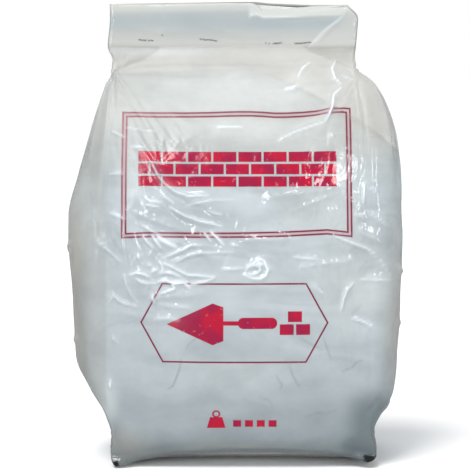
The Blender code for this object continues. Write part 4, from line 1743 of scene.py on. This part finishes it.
@dataclass
class Studio:
    """The pale floor, the soft lights and the camera at the photograph's angle."""

    distance: float = 0.62
    elevation: float = math.radians(5.5)
    target_height: float = 85.9 * MM
    pixels: int = 470
    pixels_per_metre: float = 2597.0
    sensor: float = 36.0
    ambient: float = 0.62
    aim_height: float = 0.09
    sun_spread: float = math.radians(24)
    floor_reach: float = 60.0

    def camera(self) -> None:
        """Places the camera so that the bag fills the frame as in the photograph."""
        data = bpy.data.cameras.new("camera")
        data.sensor_width = self.sensor
        data.lens = self.sensor * self.distance * self.pixels_per_metre / self.pixels
        data.clip_start, data.clip_end = 0.01, 50.0
        made = bpy.data.objects.new("camera", data)
        back = Vector((0, -math.cos(self.elevation), math.sin(self.elevation)))
        made.location = Vector((0, 0, self.target_height)) + back * self.distance
        made.rotation_euler = (math.pi / 2 - self.elevation, 0, 0)
        bpy.context.scene.collection.objects.link(made)
        bpy.context.scene.camera = made

    def light(self, name: str, kind: str, energy: float, aim: Vector) -> bpy.types.Object:
        """Adds a light that shines along a direction."""
        data = bpy.data.lights.new(name, kind)
        data.energy = energy
        made = bpy.data.objects.new(name, data)
        made.rotation_euler = aim.to_track_quat("-Z", "Y").to_euler()
        bpy.context.scene.collection.objects.link(made)
        return made

    def lamp(self, name: str, place: tuple[float, float, float], size: tuple[float, float],
             power: float, glint: bool = False) -> None:
        """Adds a soft panel light that looks at the bag.

        Args:
            name: The light's name.
            place: Where it stands.
            size: Its width and height.
            power: Its power in watts.
            glint: Whether it only shows as a reflection.
        """
        made = self.light(name, "AREA", power, Vector((0, 0, self.aim_height)) - Vector(place))
        made.data.shape = "RECTANGLE"
        made.data.size, made.data.size_y = size
        made.location = place
        made.visible_diffuse = not glint

    def sun(self, name: str, place: tuple[float, float, float], strength: float) -> None:
        """Adds a soft sun that shines on the floor and the bag alike, without a reflection.

        Args:
            name: The light's name.
            place: The direction that it shines from.
            strength: Its strength in watts per square metre.
        """
        made = self.light(name, "SUN", strength, -Vector(place))
        made.data.angle = self.sun_spread
        made.visible_glossy = False

    def floor(self) -> None:
        """Lays the plain pale floor."""
        mesh = bpy.data.meshes.new("floor")
        corners = [(x * self.floor_reach, y * self.floor_reach, 0)
                   for x, y in ((-1, -1), (1, -1), (1, 1), (-1, 1))]
        mesh.from_pydata(corners, [], [(0, 1, 2, 3)])
        pale, wires, shader = new_material("pale_floor")
        wires.feed(shader, {"Base Color": (0.92, 0.92, 0.92, 1), "Roughness": 0.9,
                            "Specular IOR Level": 0.0})
        mesh.materials.append(pale)
        made = put_in_scene("floor", mesh)
        made.visible_glossy = False

    def sky(self) -> None:
        """Fills the surroundings with soft light, shows them white, and dims them in reflections."""
        world = bpy.data.worlds.new("soft_white")
        world.use_nodes = True
        wires = Wires(world.node_tree)
        light = world.node_tree.nodes["Background"]
        ray = wires.node("ShaderNodeLightPath").outputs
        dimmed = wires.math("MULTIPLY_ADD", ray["Is Glossy Ray"], -0.6 * self.ambient, self.ambient)
        wires.feed(light, {"Color": (0.94, 0.97, 1.0, 1), "Strength": dimmed})
        white = wires.read("ShaderNodeBackground", 0, {"Color": (1.0, 1.0, 1.0, 1)})
        seen = {0: ray["Is Camera Ray"], 1: light.outputs[0], 2: white}
        mix = wires.read("ShaderNodeMixShader", 0, seen)
        wires.feed(world.node_tree.nodes["World Output"], {0: mix})
        bpy.context.scene.world = world

    def build(self) -> None:
        """Builds the whole studio."""
        self.floor()
        self.sky()
        self.camera()
        self.sun("daylight", (-0.32, -0.40, 1.0), 1.95)
        for name, place, size, power in (
            ("window", (-0.60, -1.00, 0.50), (0.20, 0.20), 1.2),
            ("low_window", (-0.30, -1.15, 0.22), (0.10, 0.14), 0.8),
            ("second_window", (0.50, -1.05, 0.62), (0.16, 0.16), 1.0),
            ("wide_window", (-0.45, -0.85, 0.95), (0.60, 0.40), 7.0),
            ("top_strip", (-0.10, -0.45, 1.20), (1.1, 0.06), 2.4),
            ("right_strip", (0.85, -0.55, 0.30), (0.10, 0.45), 1.3),
            ("left_strip", (-0.85, -0.80, 0.15), (0.08, 0.30), 0.5),
            ("rear_window", (0.65, 1.05, 0.60), (0.20, 0.20), 1.0),
            ("rear_low", (-0.55, 1.10, 0.35), (0.12, 0.16), 0.6),
        ):
            self.lamp(name, place, size, power, glint=name == "wide_window")
        bpy.context.scene.view_settings.view_transform = "Standard"


def main() -> None:
    """Builds the bag and its studio."""
    logging.basicConfig(level=logging.INFO, format="%(name)s: %(message)s")
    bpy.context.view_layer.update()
    crumple, grain = crumple_group(), powder_group()
    film = FilmBag()
    skin = film.build()
    film.dress(skin, FilmFinish().material(Print(), crumple, grain))
    powder = Powder(film.relief)
    fill = powder.build()
    powder.dress(fill, PowderFinish().material("packed_powder", grain))
    scatter, weld, crumbs = GrainScatter(), WeldDust(film), Crumbs()
    dark = PowderFinish(pale=(0.12, 0.12, 0.125), deep=(0.05, 0.05, 0.055))
    dust = weld.build(scatter, dark.material("dark_dust", grain))
    weld.dress(dust)
    light = PowderFinish(pale=(0.48, 0.48, 0.455))
    loose = crumbs.build(fill, scatter, light.material("loose_powder", grain))
    crumbs.dress(loose)
    for piece in (skin, fill, dust, loose):
        LOG.info("%s: %d faces", piece.name, len(piece.data.polygons))
    Studio().build()


if __name__ == "__main__":
    main()
